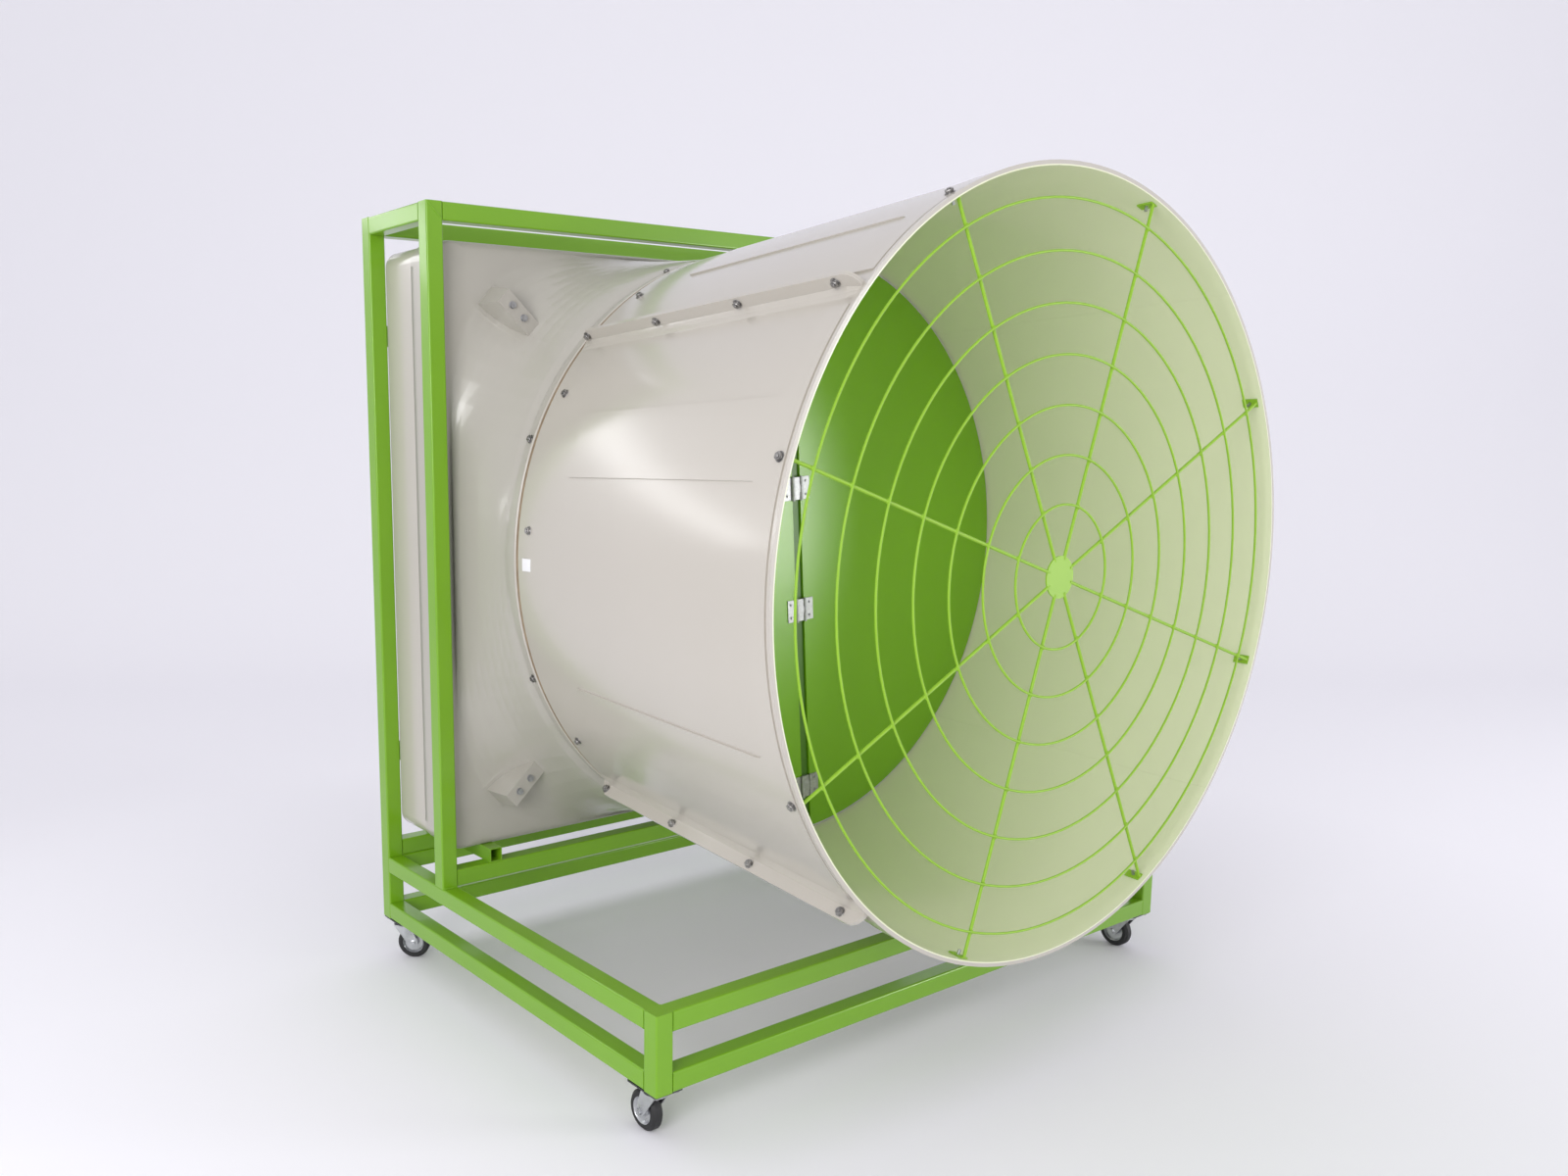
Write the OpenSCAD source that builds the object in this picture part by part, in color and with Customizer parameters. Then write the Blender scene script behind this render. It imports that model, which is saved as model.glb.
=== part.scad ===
// Mobile exhaust fan: a moulded square housing with a long round outlet cone on a welded steel trolley.
// Millimetres. Z is up, X is to the right and the outlet mouth faces -Y.
// The origin is at the centre of the overall box, on the floor.

/* [Trolley] */
// Overall width of the welded frame
frame_w = 1980; // [1940:10:2200]
// Depth of the wheeled base, front to back
base_depth = 1420; // [1300:10:1600]
// Height of the base, from the underside of its lower rails to the top of its upper rails
base_h = 200; // [180:5:260]
// Height of the portal above the underside of the base
frame_h = 2130; // [2110:10:2400]
// Depth of the portal that holds the housing, over its front and rear posts
portal_depth = 405; // [400:5:460]
// Outside width of the square tube
tube = 50; // [45:1:60]
// Wall thickness of the square tube
tube_wall = 3; // [2:0.5:5]
// Outside corner radius of the square tube
tube_round = 5; // [3:0.5:8]
// Width of each bearer under the housing
bearer_w = 40; // [30:1:60]
// Distance between the two bearers, centre to centre
bearer_spread = 1620; // [1200:10:1700]

/* [Casters] */
// Height of a caster, from the floor to the top of its plate
caster_h = 128; // [124:1:150]
// Diameter of a caster wheel
wheel_d = 100; // [80:1:110]
// Width of the rubber tyre
wheel_w = 30; // [24:1:36]
// Radial thickness of the rubber tyre
tyre_t = 17; // [10:1:20]
// How far a wheel trails behind its swivel
caster_trail = 32; // [25:1:38]
// Size of the top plate along X
plate_w = 84; // [80:1:90]
// Size of the top plate along Y
plate_l = 112; // [104:1:120]
// Thickness of the pressed caster steel
caster_steel = 4; // [3:0.5:5]

/* [Housing] */
// Width of the moulded housing
housing_w = 1886; // [1820:2:1900]
// Height of the moulded housing
housing_h = 1746; // [1740:2:1790]
// Thickness of the moulded shells
shell = 6; // [5:0.5:8]
// Corner radius of the housing, seen from the front
housing_round = 50; // [40:1:90]
// Depth of the front moulding's skirt
skirt = 140; // [100:5:170]
// Width of the flat border around the front bell, at the top and bottom
border = 30; // [24:1:34]
// Distance from the front face to the end of the cone
collar_reach = 294; // [280:2:310]
// Width of a strut pad
pad_w = 50; // [48:1:60]
// Distance from the fan's axis to the outer end of a strut pad
pad_reach = 1065; // [1050:5:1080]
// Height of a strut pad above the front face
pad_rise = 97; // [90:1:110]

/* [Outlet cone] */
// Diameter of the cone at its mouth
mouth_d = 1898; // [1860:2:1960]
// Diameter of the cone at the end that fits over the collar
joint_d = 1736; // [1716:2:1738]
// Length of the cone
cone_len = 1087; // [1000:1:1250]
// Wall thickness of the cone
cone_wall = 6; // [5:0.5:8]
// How far the collar reaches into the cone
collar_lap = 75; // [60:5:90]
// How far the seam flanges stand out from the cone
flange_h = 44; // [36:1:54]
// Thickness of one seam flange
flange_t = 5; // [4:0.5:7]
// Radial thickness of the mouth rim
rim_t = 12; // [9:0.5:14]
// Angle by which the guard and shutter are turned on the collar
outlet_turn = 4; // [0:1:8]
// Angle by which the cone's seams are turned on the collar
seam_turn = 2.5; // [0:0.5:6]

/* [Shutter] */
// Distance from the mouth to the front of the shutter
shutter_inset = 922; // [900:2:960]
// Thickness of a shutter door
door_t = 6; // [4:0.5:8]
// Gap between the straight edges of the two doors
door_gap = 32; // [28:1:36]
// Width of the centre post behind the doors
post_w = 60; // [52:2:80]
// Depth of the centre post
post_t = 26; // [20:1:30]
// Height of a hinge
hinge_h = 66; // [54:3:84]

/* [Guard] */
// Radius of the largest guard ring
guard_r = 876; // [860:2:900]
// Radius of the smallest guard ring
guard_r_min = 175; // [150:5:220]
// Number of guard rings
guard_rings = 7; // [5:1:9]
// Diameter of the ring wire
ring_wire = 6; // [5:0.5:7]
// Diameter of the spoke wire
spoke_wire = 8; // [7:0.5:10]
// Diameter of the disc at the middle of the guard
guard_disc_d = 104; // [80:2:130]

/* [Impeller and motor] */
// Diameter of the impeller
fan_d = 1600; // [1560:5:1610]
// Number of blades
blades = 6; // [4:1:8]
// Diameter of the impeller hub
hub_d = 260; // [220:5:300]
// Diameter of the motor body
motor_d = 250; // [220:5:270]
// Length of the motor body
motor_len = 215; // [190:5:225]
// Diameter of the motor shaft
shaft_d = 38; // [28:1:48]
// Size of the square tube of the motor struts
strut = 34; // [30:1:35]

/* [Hidden] */
$fn = 96;
cut = 1;
snug = 0.3;

// Colours as painted and moulded
green = [0.50, 0.78, 0.16];
deep_green = [0.30, 0.52, 0.06];
cream = [0.80, 0.77, 0.72];
zinc = [0.74, 0.75, 0.77];
rubber = [0.05, 0.05, 0.05];
dark_steel = [0.25, 0.26, 0.27];
blue_grey = [0.33, 0.38, 0.42];

// Places along the depth. h runs along the fan's axis towards the mouth, so h is -Y.
overall_depth = portal_depth - tube + collar_reach + cone_len;
back_y = overall_depth / 2;
front_y = back_y - base_depth;
portal_y = back_y - portal_depth;
face_h = -(portal_y + tube);
rear_h = -(back_y - tube);
joint_h = face_h + collar_reach;
mouth_h = joint_h + cone_len;

// The housing is never smaller than the cone that it carries, nor the portal than the housing
joint_edge = 2;
least_bearer = 15;
bell_side_margin = 10;
collar_r = joint_d / 2 - cone_wall - snug - snug;
house_w = max(housing_w, joint_d + 2 * joint_edge);
house_h = max(housing_h, joint_d + 2 * joint_edge);
bell_half_w = max(house_w / 2 - border - bell_side_margin, collar_r + snug);
bell_half_h = max(house_h / 2 - border, collar_r + snug);

// Places up and across
side_x = max(frame_w / 2, bell_half_w + tube + snug);
base_top = caster_h + base_h;
top_z = caster_h + max(frame_h, base_h + 2 * (tube + least_bearer) + house_h);
opening_bottom = base_top + tube;
opening_top = top_z - tube;
axis_z = (opening_bottom + opening_top) / 2;
bearer_h = axis_z - house_h / 2 - opening_bottom;

// Caster sizes
fork_gap = 3;
axle_d = 10;
cup_d = 56;
cup_h = 16;
kingpin_d = 14;
kingpin_head = 5;
kingpin_head_share = 1.55;
plate_bolt_d = 8;
plate_hole_inset = 12;
caster_inset_x = plate_w / 2;
caster_inset_y = plate_l / 2 + 4;
front_turns = [90, 90];
rear_turns = [-42, -130];
hub_bore_wall = 5;

// Housing sizes
tongue = 45;
rear_step = 3;
rear_flange = 46;
bell_share = 0.80;
square_power = 16;
square_fade_share = 3.5;
bell_step_shares = [0, 0.015, 0.05, 0.1, 0.18, 0.27, 0.36, 0.46, 0.57, 0.68, 0.79, 0.9, 1];
bell_sides = 96;
collar_band = 20;
collar_bite = 0.5;
corner_steps = 10;
edge_steps = 4;
edge_land = 1.3;
edge_round_most = 10;
edge_round = min(edge_round_most, house_h / 2 - bell_half_h - edge_land);
pad_top_h = face_h + pad_rise;
pad_draft = 9;
pad_angle = atan(house_h / house_w);
pad_bolt_d = 10;
pad_bolt_pitch = 50;
pad_bolt_edge = 38;
side_bolt_d = 8;
side_bolts = 4;

// Venturi, inlet guard and impeller sizes
tip_gap = 15;
duct_r = fan_d / 2 + tip_gap;
bell_r = 45;
venturi_t = 5;
venturi_depth = 76;
panel_gap = 0.5;
strut_gap = 2;
nut_share = 0.8;
venturi_h = rear_h + venturi_depth;
duct_len = 230;
inlet_bar = 5;
inlet_pitch = 76;
inlet_frame = 22;
inlet_guard_h = rear_h + shell + snug;
plate_t = 8;
motor_plate_w = 330;
strut_front_h = pad_top_h - shell - snug;
strut_back_h = strut_front_h - strut;
strut_start = motor_plate_w / 2 - strut;
motor_bolt_circle = 290;
motor_bolt_d = 12;
motor_flange_d = 320;
motor_flange_t = 14;
fin_t = 4;
fin_out = 9;
fin_count = 28;
hub_back_gap = 60;
hub_len = 100;
hub_h = strut_back_h - plate_t - hub_back_gap;
blade_root_chord = 270;
blade_tip_chord = 210;
blade_root_pitch = 40;
blade_tip_pitch = 22;
blade_t = 7;
blade_camber_share = 0.07;
blade_flat_share = 0.12;
blade_steps = 9;
blade_cells = 6;
blade_bolt_d = 12;
shaft_r = shaft_d / 2;

// Outlet sizes
flange_start = 2;
flange_cut = 46;
flange_curve = 42;
flange_steps = 6;
fillet_w = 36;
fillet_up = 12;
fillet_bite = 1.8;
fillet_shares = [0, 0.12, 0.3, 0.6, 1];
seam_bolt_d = 8;
seam_bolt_count = 4;
seam_bolt_start = 42;
seam_bolt_end = 72;
seam_bolt_share = 0.62;
joint_bolt_d = 8;
joint_bolt_h = joint_h + collar_lap * 3 / 4;
joint_bolt_angles = [35, 10, -31];
collar_bolt_inset = 42;
collar_bolt_h = joint_h - collar_bolt_inset;
rim_len = 16;
ring_t = 8;
ring_ledge = 14;
shutter_h = max(mouth_h - shutter_inset, joint_h + collar_lap + ring_t + 2 * ring_ledge + snug);
door_clear = 9;
door_seat = 0.3;
door_r = cone_in(shutter_h) - door_clear;
door_back_h = shutter_h + door_seat;
door_front_h = door_back_h + door_t;
barrel_r = 5;
pin_r = 2.5;
pin_x = door_gap / 2;
pin_h = door_front_h + barrel_r + door_seat;
leaf_t = 2.5;
leaf_w = 34;
hinge_place_shares = [-0.846, -0.21, 0.21, 0.846];
hinge_bracket_w = 2 * (pin_x - barrel_r - 2 * snug);
door_screw_d = 8;
segment_gap = 0.6;

// Guard sizes
guard_inset = 9;
weld_bite = 1;
guard_h = mouth_h - guard_inset;
spokes = 8;
spoke_pitch = 360 / spokes;
tab_l = 40;
tab_w = 24;
tab_t = 3;
guard_bolt_d = 8;
guard_bolt_back = 24;
guard_disc_t = 4;

function cone_out(h) = joint_d / 2 + (mouth_d - joint_d) / 2 * (h - joint_h) / cone_len;
function cone_in(h) = cone_out(h) - cone_wall;
cone_slope = atan((mouth_d - joint_d) / 2 / cone_len);

// Helpers
module both_sides() {
    children();
    mirror([1, 0, 0]) children();
}

// Local frame on the fan's axis: x right, y up, z towards the mouth
module on_axis() {
    translate([0, 0, axis_z]) rotate([90, 0, 0]) children();
}

module on_outlet() {
    on_axis() rotate([0, 0, outlet_turn]) children();
}

module on_seams() {
    on_axis() rotate([0, 0, seam_turn]) children();
}

module round_rect(w, h, r) {
    square([w - 2 * r, h], center = true);
    square([w, h - 2 * r], center = true);
    for (x = [-1, 1], y = [-1, 1])
        translate([x * (w / 2 - r), y * (h / 2 - r)]) circle(r);
}

module tube_section(outer, wall, r) {
    difference() {
        round_rect(outer, outer, r);
        square(outer - 2 * wall, center = true);
    }
}

// A tube whose centre line starts at the origin and runs along +Z
module tube_run(length, outer = tube, wall = tube_wall, r = tube_round) {
    linear_extrude(length) tube_section(outer, wall, r);
}

module tube_x(from, to, y, z) {
    translate([from, y, z]) rotate([0, 90, 0]) tube_run(to - from);
}

module tube_y(x, from, to, z) {
    translate([x, from, z]) rotate([-90, 0, 0]) tube_run(to - from);
}

module tube_z(x, y, from, to) {
    translate([x, y, from]) tube_run(to - from);
}

// A bolt with a washer, a hex head above z = 0 and a shank below it
module bolt(d, grip, washer_share = 2.1, head_share = 1.65, height_share = 0.62, washer_t_share = 0.18) {
    translate([0, 0, d * washer_t_share]) cylinder(h = d * height_share, d = d * head_share / cos(30), $fn = 6);
    cylinder(h = d * washer_t_share, d = d * washer_share, $fn = 32);
    translate([0, 0, -grip]) cylinder(h = grip + d * washer_t_share, d = d, $fn = 32);
}

module nut(d, head_share = 1.65, height_share = nut_share) {
    difference() {
        cylinder(h = d * height_share, d = d * head_share / cos(30), $fn = 6);
        translate([0, 0, -cut]) cylinder(h = d * height_share + 2 * cut, d = d + snug, $fn = 32);
    }
}

module bolt_hole(d, depth) {
    cylinder(h = depth, d = d + snug, center = true, $fn = 32);
}

// Trolley
post_x = side_x - tube / 2;
low_z = caster_h + tube / 2;
high_z = base_top - tube / 2;
top_rail_z = top_z - tube / 2;
front_rail_y = front_y + tube / 2;
rear_rail_y = back_y - tube / 2;
upright_y = portal_y + tube / 2;

module front_corner_posts() {
    color(green) both_sides() tube_z(post_x, front_rail_y, caster_h, base_top);
}

module rear_posts() {
    color(green) both_sides() tube_z(post_x, rear_rail_y, caster_h, top_z);
}

module front_uprights() {
    color(green) both_sides() tube_z(post_x, upright_y, base_top, top_z);
}

module side_rails(z) {
    both_sides() tube_y(post_x, front_y + tube, back_y - tube, z);
}

module cross_rails(z) {
    for (y = [front_rail_y, rear_rail_y]) tube_x(tube - side_x, side_x - tube, y, z);
}

module lower_side_rails() { color(green) side_rails(low_z); }
module lower_cross_rails() { color(green) cross_rails(low_z); }
module upper_side_rails() { color(green) side_rails(high_z); }
module upper_cross_rails() { color(green) cross_rails(high_z); }

module top_side_rails() {
    color(green) both_sides() tube_y(post_x, portal_y + tube, back_y - tube, top_rail_z);
}

module top_cross_rails() {
    color(green) for (y = [upright_y, rear_rail_y]) tube_x(tube - side_x, side_x - tube, y, top_rail_z);
}

module housing_cross_tubes() {
    color(green) for (y = [upright_y, rear_rail_y])
        tube_x(tube - side_x, side_x - tube, y, base_top + tube / 2);
}

module housing_bearers() {
    color(green) both_sides() translate([bearer_spread / 2 - bearer_w / 2, portal_y, opening_bottom]) difference() {
        cube([bearer_w, portal_depth, bearer_h]);
        translate([tube_wall, -cut, tube_wall])
            cube([bearer_w - 2 * tube_wall, portal_depth + 2 * cut, bearer_h - 2 * tube_wall]);
    }
}

module end_cap(x, y, z) {
    bore = tube - 2 * tube_wall;
    translate([x - bore / 2, y - bore / 2, z]) cube([bore, bore, tube_wall]);
}

module tube_end_caps() {
    color(green) both_sides() {
        for (z = [caster_h, base_top - tube_wall]) end_cap(post_x, front_rail_y, z);
        for (z = [caster_h, top_z - tube_wall]) end_cap(post_x, rear_rail_y, z);
        end_cap(post_x, upright_y, top_z - tube_wall);
    }
}

// Angle clips that hold the back of the housing to the rear posts
clip_leg = 38;
clip_t = 4;
clip_len = 60;
clip_height_share = 0.36;

module housing_clips() {
    color(green) both_sides() for (z = [-1, 1])
        translate([tube - side_x, back_y - tube, axis_z + z * house_h * clip_height_share - clip_len / 2]) {
            cube([clip_leg, clip_t, clip_len]);
            cube([clip_t, clip_leg, clip_len]);
        }
}

// Casters. Each is drawn at its swivel axis with its wheel trailing along +X, then turned.
wheel_z = wheel_d / 2;
fork_top = caster_h - caster_steel - cup_h;
fork_in = wheel_w / 2 + fork_gap;

module at_caster(x, y, turn) {
    translate([x * (side_x - caster_inset_x), y > 0 ? back_y - caster_inset_y : front_y + caster_inset_y, 0])
        rotate([0, 0, turn]) children();
}

module caster_plate() {
    translate([0, 0, caster_h - caster_steel]) difference() {
        linear_extrude(caster_steel) round_rect(plate_w, plate_l, plate_hole_inset / 2);
        for (x = [-1, 1], y = [-1, 1])
            translate([x * (plate_w / 2 - plate_hole_inset), y * (plate_l / 2 - plate_hole_inset), 0])
                cylinder(h = 3 * caster_steel, d = plate_bolt_d + snug, center = true, $fn = 32);
    }
    translate([0, 0, fork_top + snug]) cylinder(h = cup_h - snug, d = cup_d);
    translate([0, 0, fork_top - caster_steel - kingpin_head]) {
        cylinder(h = caster_steel + kingpin_d, d = kingpin_d);
        cylinder(h = kingpin_head - snug, d = kingpin_d * kingpin_head_share);
    }
}

module caster_plates() {
    color(zinc) for (x = [-1, 1], y = [-1, 1]) at_caster(x, y, 0) caster_plate();
}

module caster_plate_bolts() {
    color(zinc) for (x = [-1, 1], y = [-1, 1]) at_caster(x, y, 0)
        for (i = [-1, 1], j = [-1, 1])
            translate([i * (plate_w / 2 - plate_hole_inset), j * (plate_l / 2 - plate_hole_inset),
                caster_h - caster_steel])
                rotate([180, 0, 0]) bolt(plate_bolt_d, caster_steel);
}

// Side outline of a fork leg: a wide crown that narrows to a round end at the axle
module leg_outline() {
    leg_end_r = axle_d * 1.5;
    hull() {
        translate([caster_trail, wheel_z]) circle(leg_end_r, $fn = 32);
        translate([-cup_d * 0.45, fork_top - caster_steel]) square([cup_d * 0.9, caster_steel]);
    }
}

module caster_fork() {
    difference() {
        for (s = [-1, 1])
            translate([0, s * (fork_in + caster_steel / 2) + caster_steel / 2, 0])
                rotate([90, 0, 0]) linear_extrude(caster_steel) leg_outline();
        translate([caster_trail, 0, wheel_z]) rotate([90, 0, 0])
            cylinder(h = 2 * cup_d, d = axle_d + snug, center = true, $fn = 48);
    }
    difference() {
        translate([0, 0, fork_top - caster_steel]) intersection() {
            cylinder(h = caster_steel, d = cup_d + 2 * caster_steel);
            translate([-cup_d, -fork_in, 0]) cube([2 * cup_d, 2 * fork_in, caster_steel]);
        }
        translate([0, 0, fork_top - caster_steel - cut])
            cylinder(h = caster_steel + 2 * cut, d = kingpin_d + 2 * snug, $fn = 48);
    }
    axle_half = fork_in + caster_steel + axle_d * 0.7;
    translate([caster_trail, 0, wheel_z]) rotate([90, 0, 0]) {
        cylinder(h = 2 * axle_half, d = axle_d, center = true, $fn = 48);
        for (s = [0, 180]) rotate([s, 0, 0]) translate([0, 0, fork_in + caster_steel])
            cylinder(h = axle_d * 0.6, d = axle_d * 1.8, $fn = 6);
    }
}

module caster_hub() {
    hub_r = wheel_d / 2 - tyre_t;
    translate([caster_trail, 0, wheel_z]) rotate([90, 0, 0]) rotate_extrude($fn = 64)
        polygon([
            [axle_d / 2 + snug, -wheel_w / 2 - snug * 3], [axle_d, -wheel_w / 2 - snug * 3],
            [axle_d + hub_bore_wall, -wheel_w / 4], [hub_r - hub_bore_wall, -wheel_w / 4],
            [hub_r, -wheel_w / 2], [hub_r, wheel_w / 2],
            [hub_r - hub_bore_wall, wheel_w / 4], [axle_d + hub_bore_wall, wheel_w / 4],
            [axle_d, wheel_w / 2 + snug * 3], [axle_d / 2 + snug, wheel_w / 2 + snug * 3]
        ]);
}

module caster_tyre() {
    hub_r = wheel_d / 2 - tyre_t;
    tread = wheel_w * 0.22;
    translate([caster_trail, 0, wheel_z]) rotate([90, 0, 0]) rotate_extrude($fn = 64)
        polygon([
            [hub_r, -wheel_w / 2], [wheel_d / 2 - tread, -wheel_w / 2], [wheel_d / 2, -wheel_w / 2 + tread],
            [wheel_d / 2, wheel_w / 2 - tread], [wheel_d / 2 - tread, wheel_w / 2], [hub_r, wheel_w / 2]
        ]);
}

module caster_fork_fl() { color(zinc) at_caster(-1, -1, front_turns[0]) caster_fork(); }
module caster_fork_fr() { color(zinc) at_caster(1, -1, front_turns[1]) caster_fork(); }
module caster_fork_rl() { color(zinc) at_caster(-1, 1, rear_turns[0]) caster_fork(); }
module caster_fork_rr() { color(zinc) at_caster(1, 1, rear_turns[1]) caster_fork(); }
module caster_hub_fl() { color(zinc) at_caster(-1, -1, front_turns[0]) caster_hub(); }
module caster_hub_fr() { color(zinc) at_caster(1, -1, front_turns[1]) caster_hub(); }
module caster_hub_rl() { color(zinc) at_caster(-1, 1, rear_turns[0]) caster_hub(); }
module caster_hub_rr() { color(zinc) at_caster(1, 1, rear_turns[1]) caster_hub(); }
module caster_tyre_fl() { color(rubber) at_caster(-1, -1, front_turns[0]) caster_tyre(); }
module caster_tyre_fr() { color(rubber) at_caster(1, -1, front_turns[1]) caster_tyre(); }
module caster_tyre_rl() { color(rubber) at_caster(-1, 1, rear_turns[0]) caster_tyre(); }
module caster_tyre_rr() { color(rubber) at_caster(1, 1, rear_turns[1]) caster_tyre(); }

// Housing. The bell blends from a rounded square at the face to a round collar.
bell_len = collar_reach * bell_share;
bell_start = face_h - shell / 2;
collar_start = face_h + bell_len - collar_band;
lap_h = joint_h + collar_lap;
lap_r = cone_in(lap_h) - 2 * snug;

function bell_power(s) =
    2 + (square_power - 2) * exp(-square_fade_share * pow(s, 0.18)) * pow(1 - s, 0.6);
function oval_r(a, w, h, p) = 1 / pow(pow(abs(cos(a)) / w, p) + pow(abs(sin(a)) / h, p), 1 / p);
function bell_ring(s, inset, end_r, h) = [
    for (i = [0 : bell_sides - 1])
        let (
            a = 45 + 360 * i / bell_sides,
            w = end_r + (bell_half_w - inset - end_r) * pow(1 - s, 2),
            v = end_r + (bell_half_h - inset - end_r) * pow(1 - s, 2),
            r = oval_r(a, w, v, bell_power(s))
        )
            [r * cos(a), r * sin(a), h]
];

// Points round a rounded rectangle at height h
function rect_ring(w, v, r, h) = [
    for (q = [0 : 3], k = [0 : corner_steps])
        let (
            a = 90 * q + 90 * k / corner_steps,
            cx = (q == 0 || q == 3 ? 1 : -1) * (w / 2 - r),
            cy = (q < 2 ? 1 : -1) * (v / 2 - r)
        )
            [cx + r * cos(a), cy + r * sin(a), h]
];

// A solid skinned over equal rings of points, from the lowest ring to the highest
module skinned(rings) {
    n = len(rings[0]);
    last = len(rings) - 1;
    points = [for (ring = rings, p = ring) p];
    walls = [
        for (k = [0 : last - 1], i = [0 : n - 1])
            let (a = k * n + i, b = k * n + (i + 1) % n)
                each [[a, a + n, b], [b, a + n, b + n]]
    ];
    polyhedron(
        points = points,
        faces = concat(walls, [[for (i = [0 : n - 1]) i]], [[for (i = [0 : n - 1]) last * n + n - 1 - i]]),
        convexity = 4
    );
}

// The bell, drawn in and lowered by the inset so that its flat parts keep the shell's thickness too
module bell_body(inset, end_r, start) {
    skinned(concat(
        [bell_ring(0, inset, end_r, start)],
        [for (s = bell_step_shares) bell_ring(s, inset, end_r, face_h - inset + bell_len * s)]
    ));
}

// The collar, and past the joint the lip that follows the inside of the cone
module collar_body(inset, start, end) {
    rotate_extrude($fn = 180) polygon([
        [0, start], [collar_r - inset, start], [collar_r - inset, joint_h - snug],
        [lap_r - inset, lap_h], [lap_r - inset, end], [0, end]
    ]);
}

// The front moulding's skirt, with its front edge rounded over
module skirt_body() {
    skinned(concat(
        [rect_ring(house_w, house_h, housing_round, face_h - skirt)],
        [for (k = [0 : edge_steps])
            let (a = 90 * k / edge_steps, draw_in = edge_round * (1 - cos(a)))
                rect_ring(house_w - 2 * draw_in, house_h - 2 * draw_in, housing_round - draw_in,
                    face_h - edge_round + edge_round * sin(a))]
    ));
}

// The strut pads stand on the housing's diagonals
module at_pads() {
    for (side = [0, 180], a = [-pad_angle, pad_angle]) rotate([0, 0, side + a]) children();
}

// A pad with drafted walls, from the bell's wall out to the pad's reach
function pad_ring(grow, h) = [
    [collar_r, -pad_w / 2 - grow, h], [pad_reach + grow, -pad_w / 2 - grow, h],
    [pad_reach + grow, pad_w / 2 + grow, h], [collar_r, pad_w / 2 + grow, h]
];

module pad_body() {
    skinned([pad_ring(pad_draft, bell_start), pad_ring(0, pad_top_h)]);
}

module housing_front() {
    color(cream) on_axis() difference() {
        union() {
            skirt_body();
            bell_body(0, collar_r - collar_bite, bell_start);
            collar_body(0, collar_start, lap_h);
            at_pads() pad_body();
        }
        translate([0, 0, face_h - skirt - cut]) linear_extrude(skirt - shell + cut)
            round_rect(house_w - 2 * shell, house_h - 2 * shell, housing_round - shell);
        bell_body(shell, collar_r - shell + collar_bite, face_h - 2 * shell - cut);
        collar_body(shell, collar_start, lap_h + cut);
        at_pads() translate([0, shell - pad_w / 2, face_h - shell - cut])
            cube([pad_reach - shell, pad_w - 2 * shell, pad_rise + cut]);
        at_pads() strut_bolt_places() bolt_hole(pad_bolt_d, 4 * shell);
        housing_bolt_places() bolt_hole(side_bolt_d, 6 * shell);
        joint_bolt_places() bolt_hole(joint_bolt_d, 8 * shell);
        collar_bolt_places() bolt_hole(joint_bolt_d, 8 * shell);
    }
}

rear_w = house_w - 2 * rear_step;
rear_hh = house_h - 2 * rear_step;
tongue_w = house_w - 2 * shell - 2 * snug;
tongue_hh = house_h - 2 * shell - 2 * snug;

module housing_rear() {
    box_len = face_h - skirt - rear_h;
    color(cream) on_axis() difference() {
        union() {
            translate([0, 0, rear_h]) linear_extrude(box_len) round_rect(rear_w, rear_hh, housing_round - rear_step);
            translate([0, 0, rear_h]) linear_extrude(box_len + tongue)
                round_rect(tongue_w, tongue_hh, housing_round - shell);
        }
        translate([0, 0, rear_h + shell]) linear_extrude(box_len + tongue)
            round_rect(tongue_w - 2 * shell, tongue_hh - 2 * shell, housing_round - 2 * shell);
        translate([0, 0, rear_h - cut]) linear_extrude(shell + 2 * cut)
            round_rect(rear_w - 2 * rear_flange, rear_hh - 2 * rear_flange, housing_round - shell);
        housing_bolt_places() bolt_hole(side_bolt_d, 6 * shell);
    }
}

// Bolts through the skirt into the rear moulding's tongue, along its top and bottom
module housing_bolt_places() {
    bolt_h = face_h - skirt + tongue / 2;
    for (i = [0 : side_bolts - 1], s = [0, 180]) {
        along_w = (i - (side_bolts - 1) / 2) * house_w / (side_bolts + 0.6);
        rotate([0, 0, s]) translate([along_w, house_h / 2, bolt_h]) rotate([-90, 0, 0]) children();
    }
}

module housing_bolts() {
    color(zinc) on_axis() housing_bolt_places() bolt(side_bolt_d, 2 * shell + snug);
}

// Square panel with the bell mouth and the duct that the impeller turns in
module venturi_panel() {
    panel_w = tongue_w - 2 * shell - 2 * panel_gap;
    panel_h = tongue_hh - 2 * shell - 2 * panel_gap;
    mouth_r = min(duct_r + bell_r, panel_h / 2 - venturi_t);
    color(cream) on_axis() {
        translate([0, 0, venturi_h]) linear_extrude(venturi_t) difference() {
            round_rect(panel_w, panel_h, housing_round - 2 * shell);
            circle(mouth_r, $fn = 180);
        }
        rotate_extrude($fn = 180) {
            translate([duct_r, venturi_h + bell_r]) square([venturi_t, duct_len]);
            intersection() {
                translate([duct_r + bell_r + venturi_t, venturi_h + bell_r]) difference() {
                    circle(bell_r + venturi_t, $fn = 96);
                    circle(bell_r, $fn = 96);
                }
                translate([duct_r, venturi_h]) square([mouth_r - duct_r + venturi_t / 2, bell_r]);
            }
        }
    }
}

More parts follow.
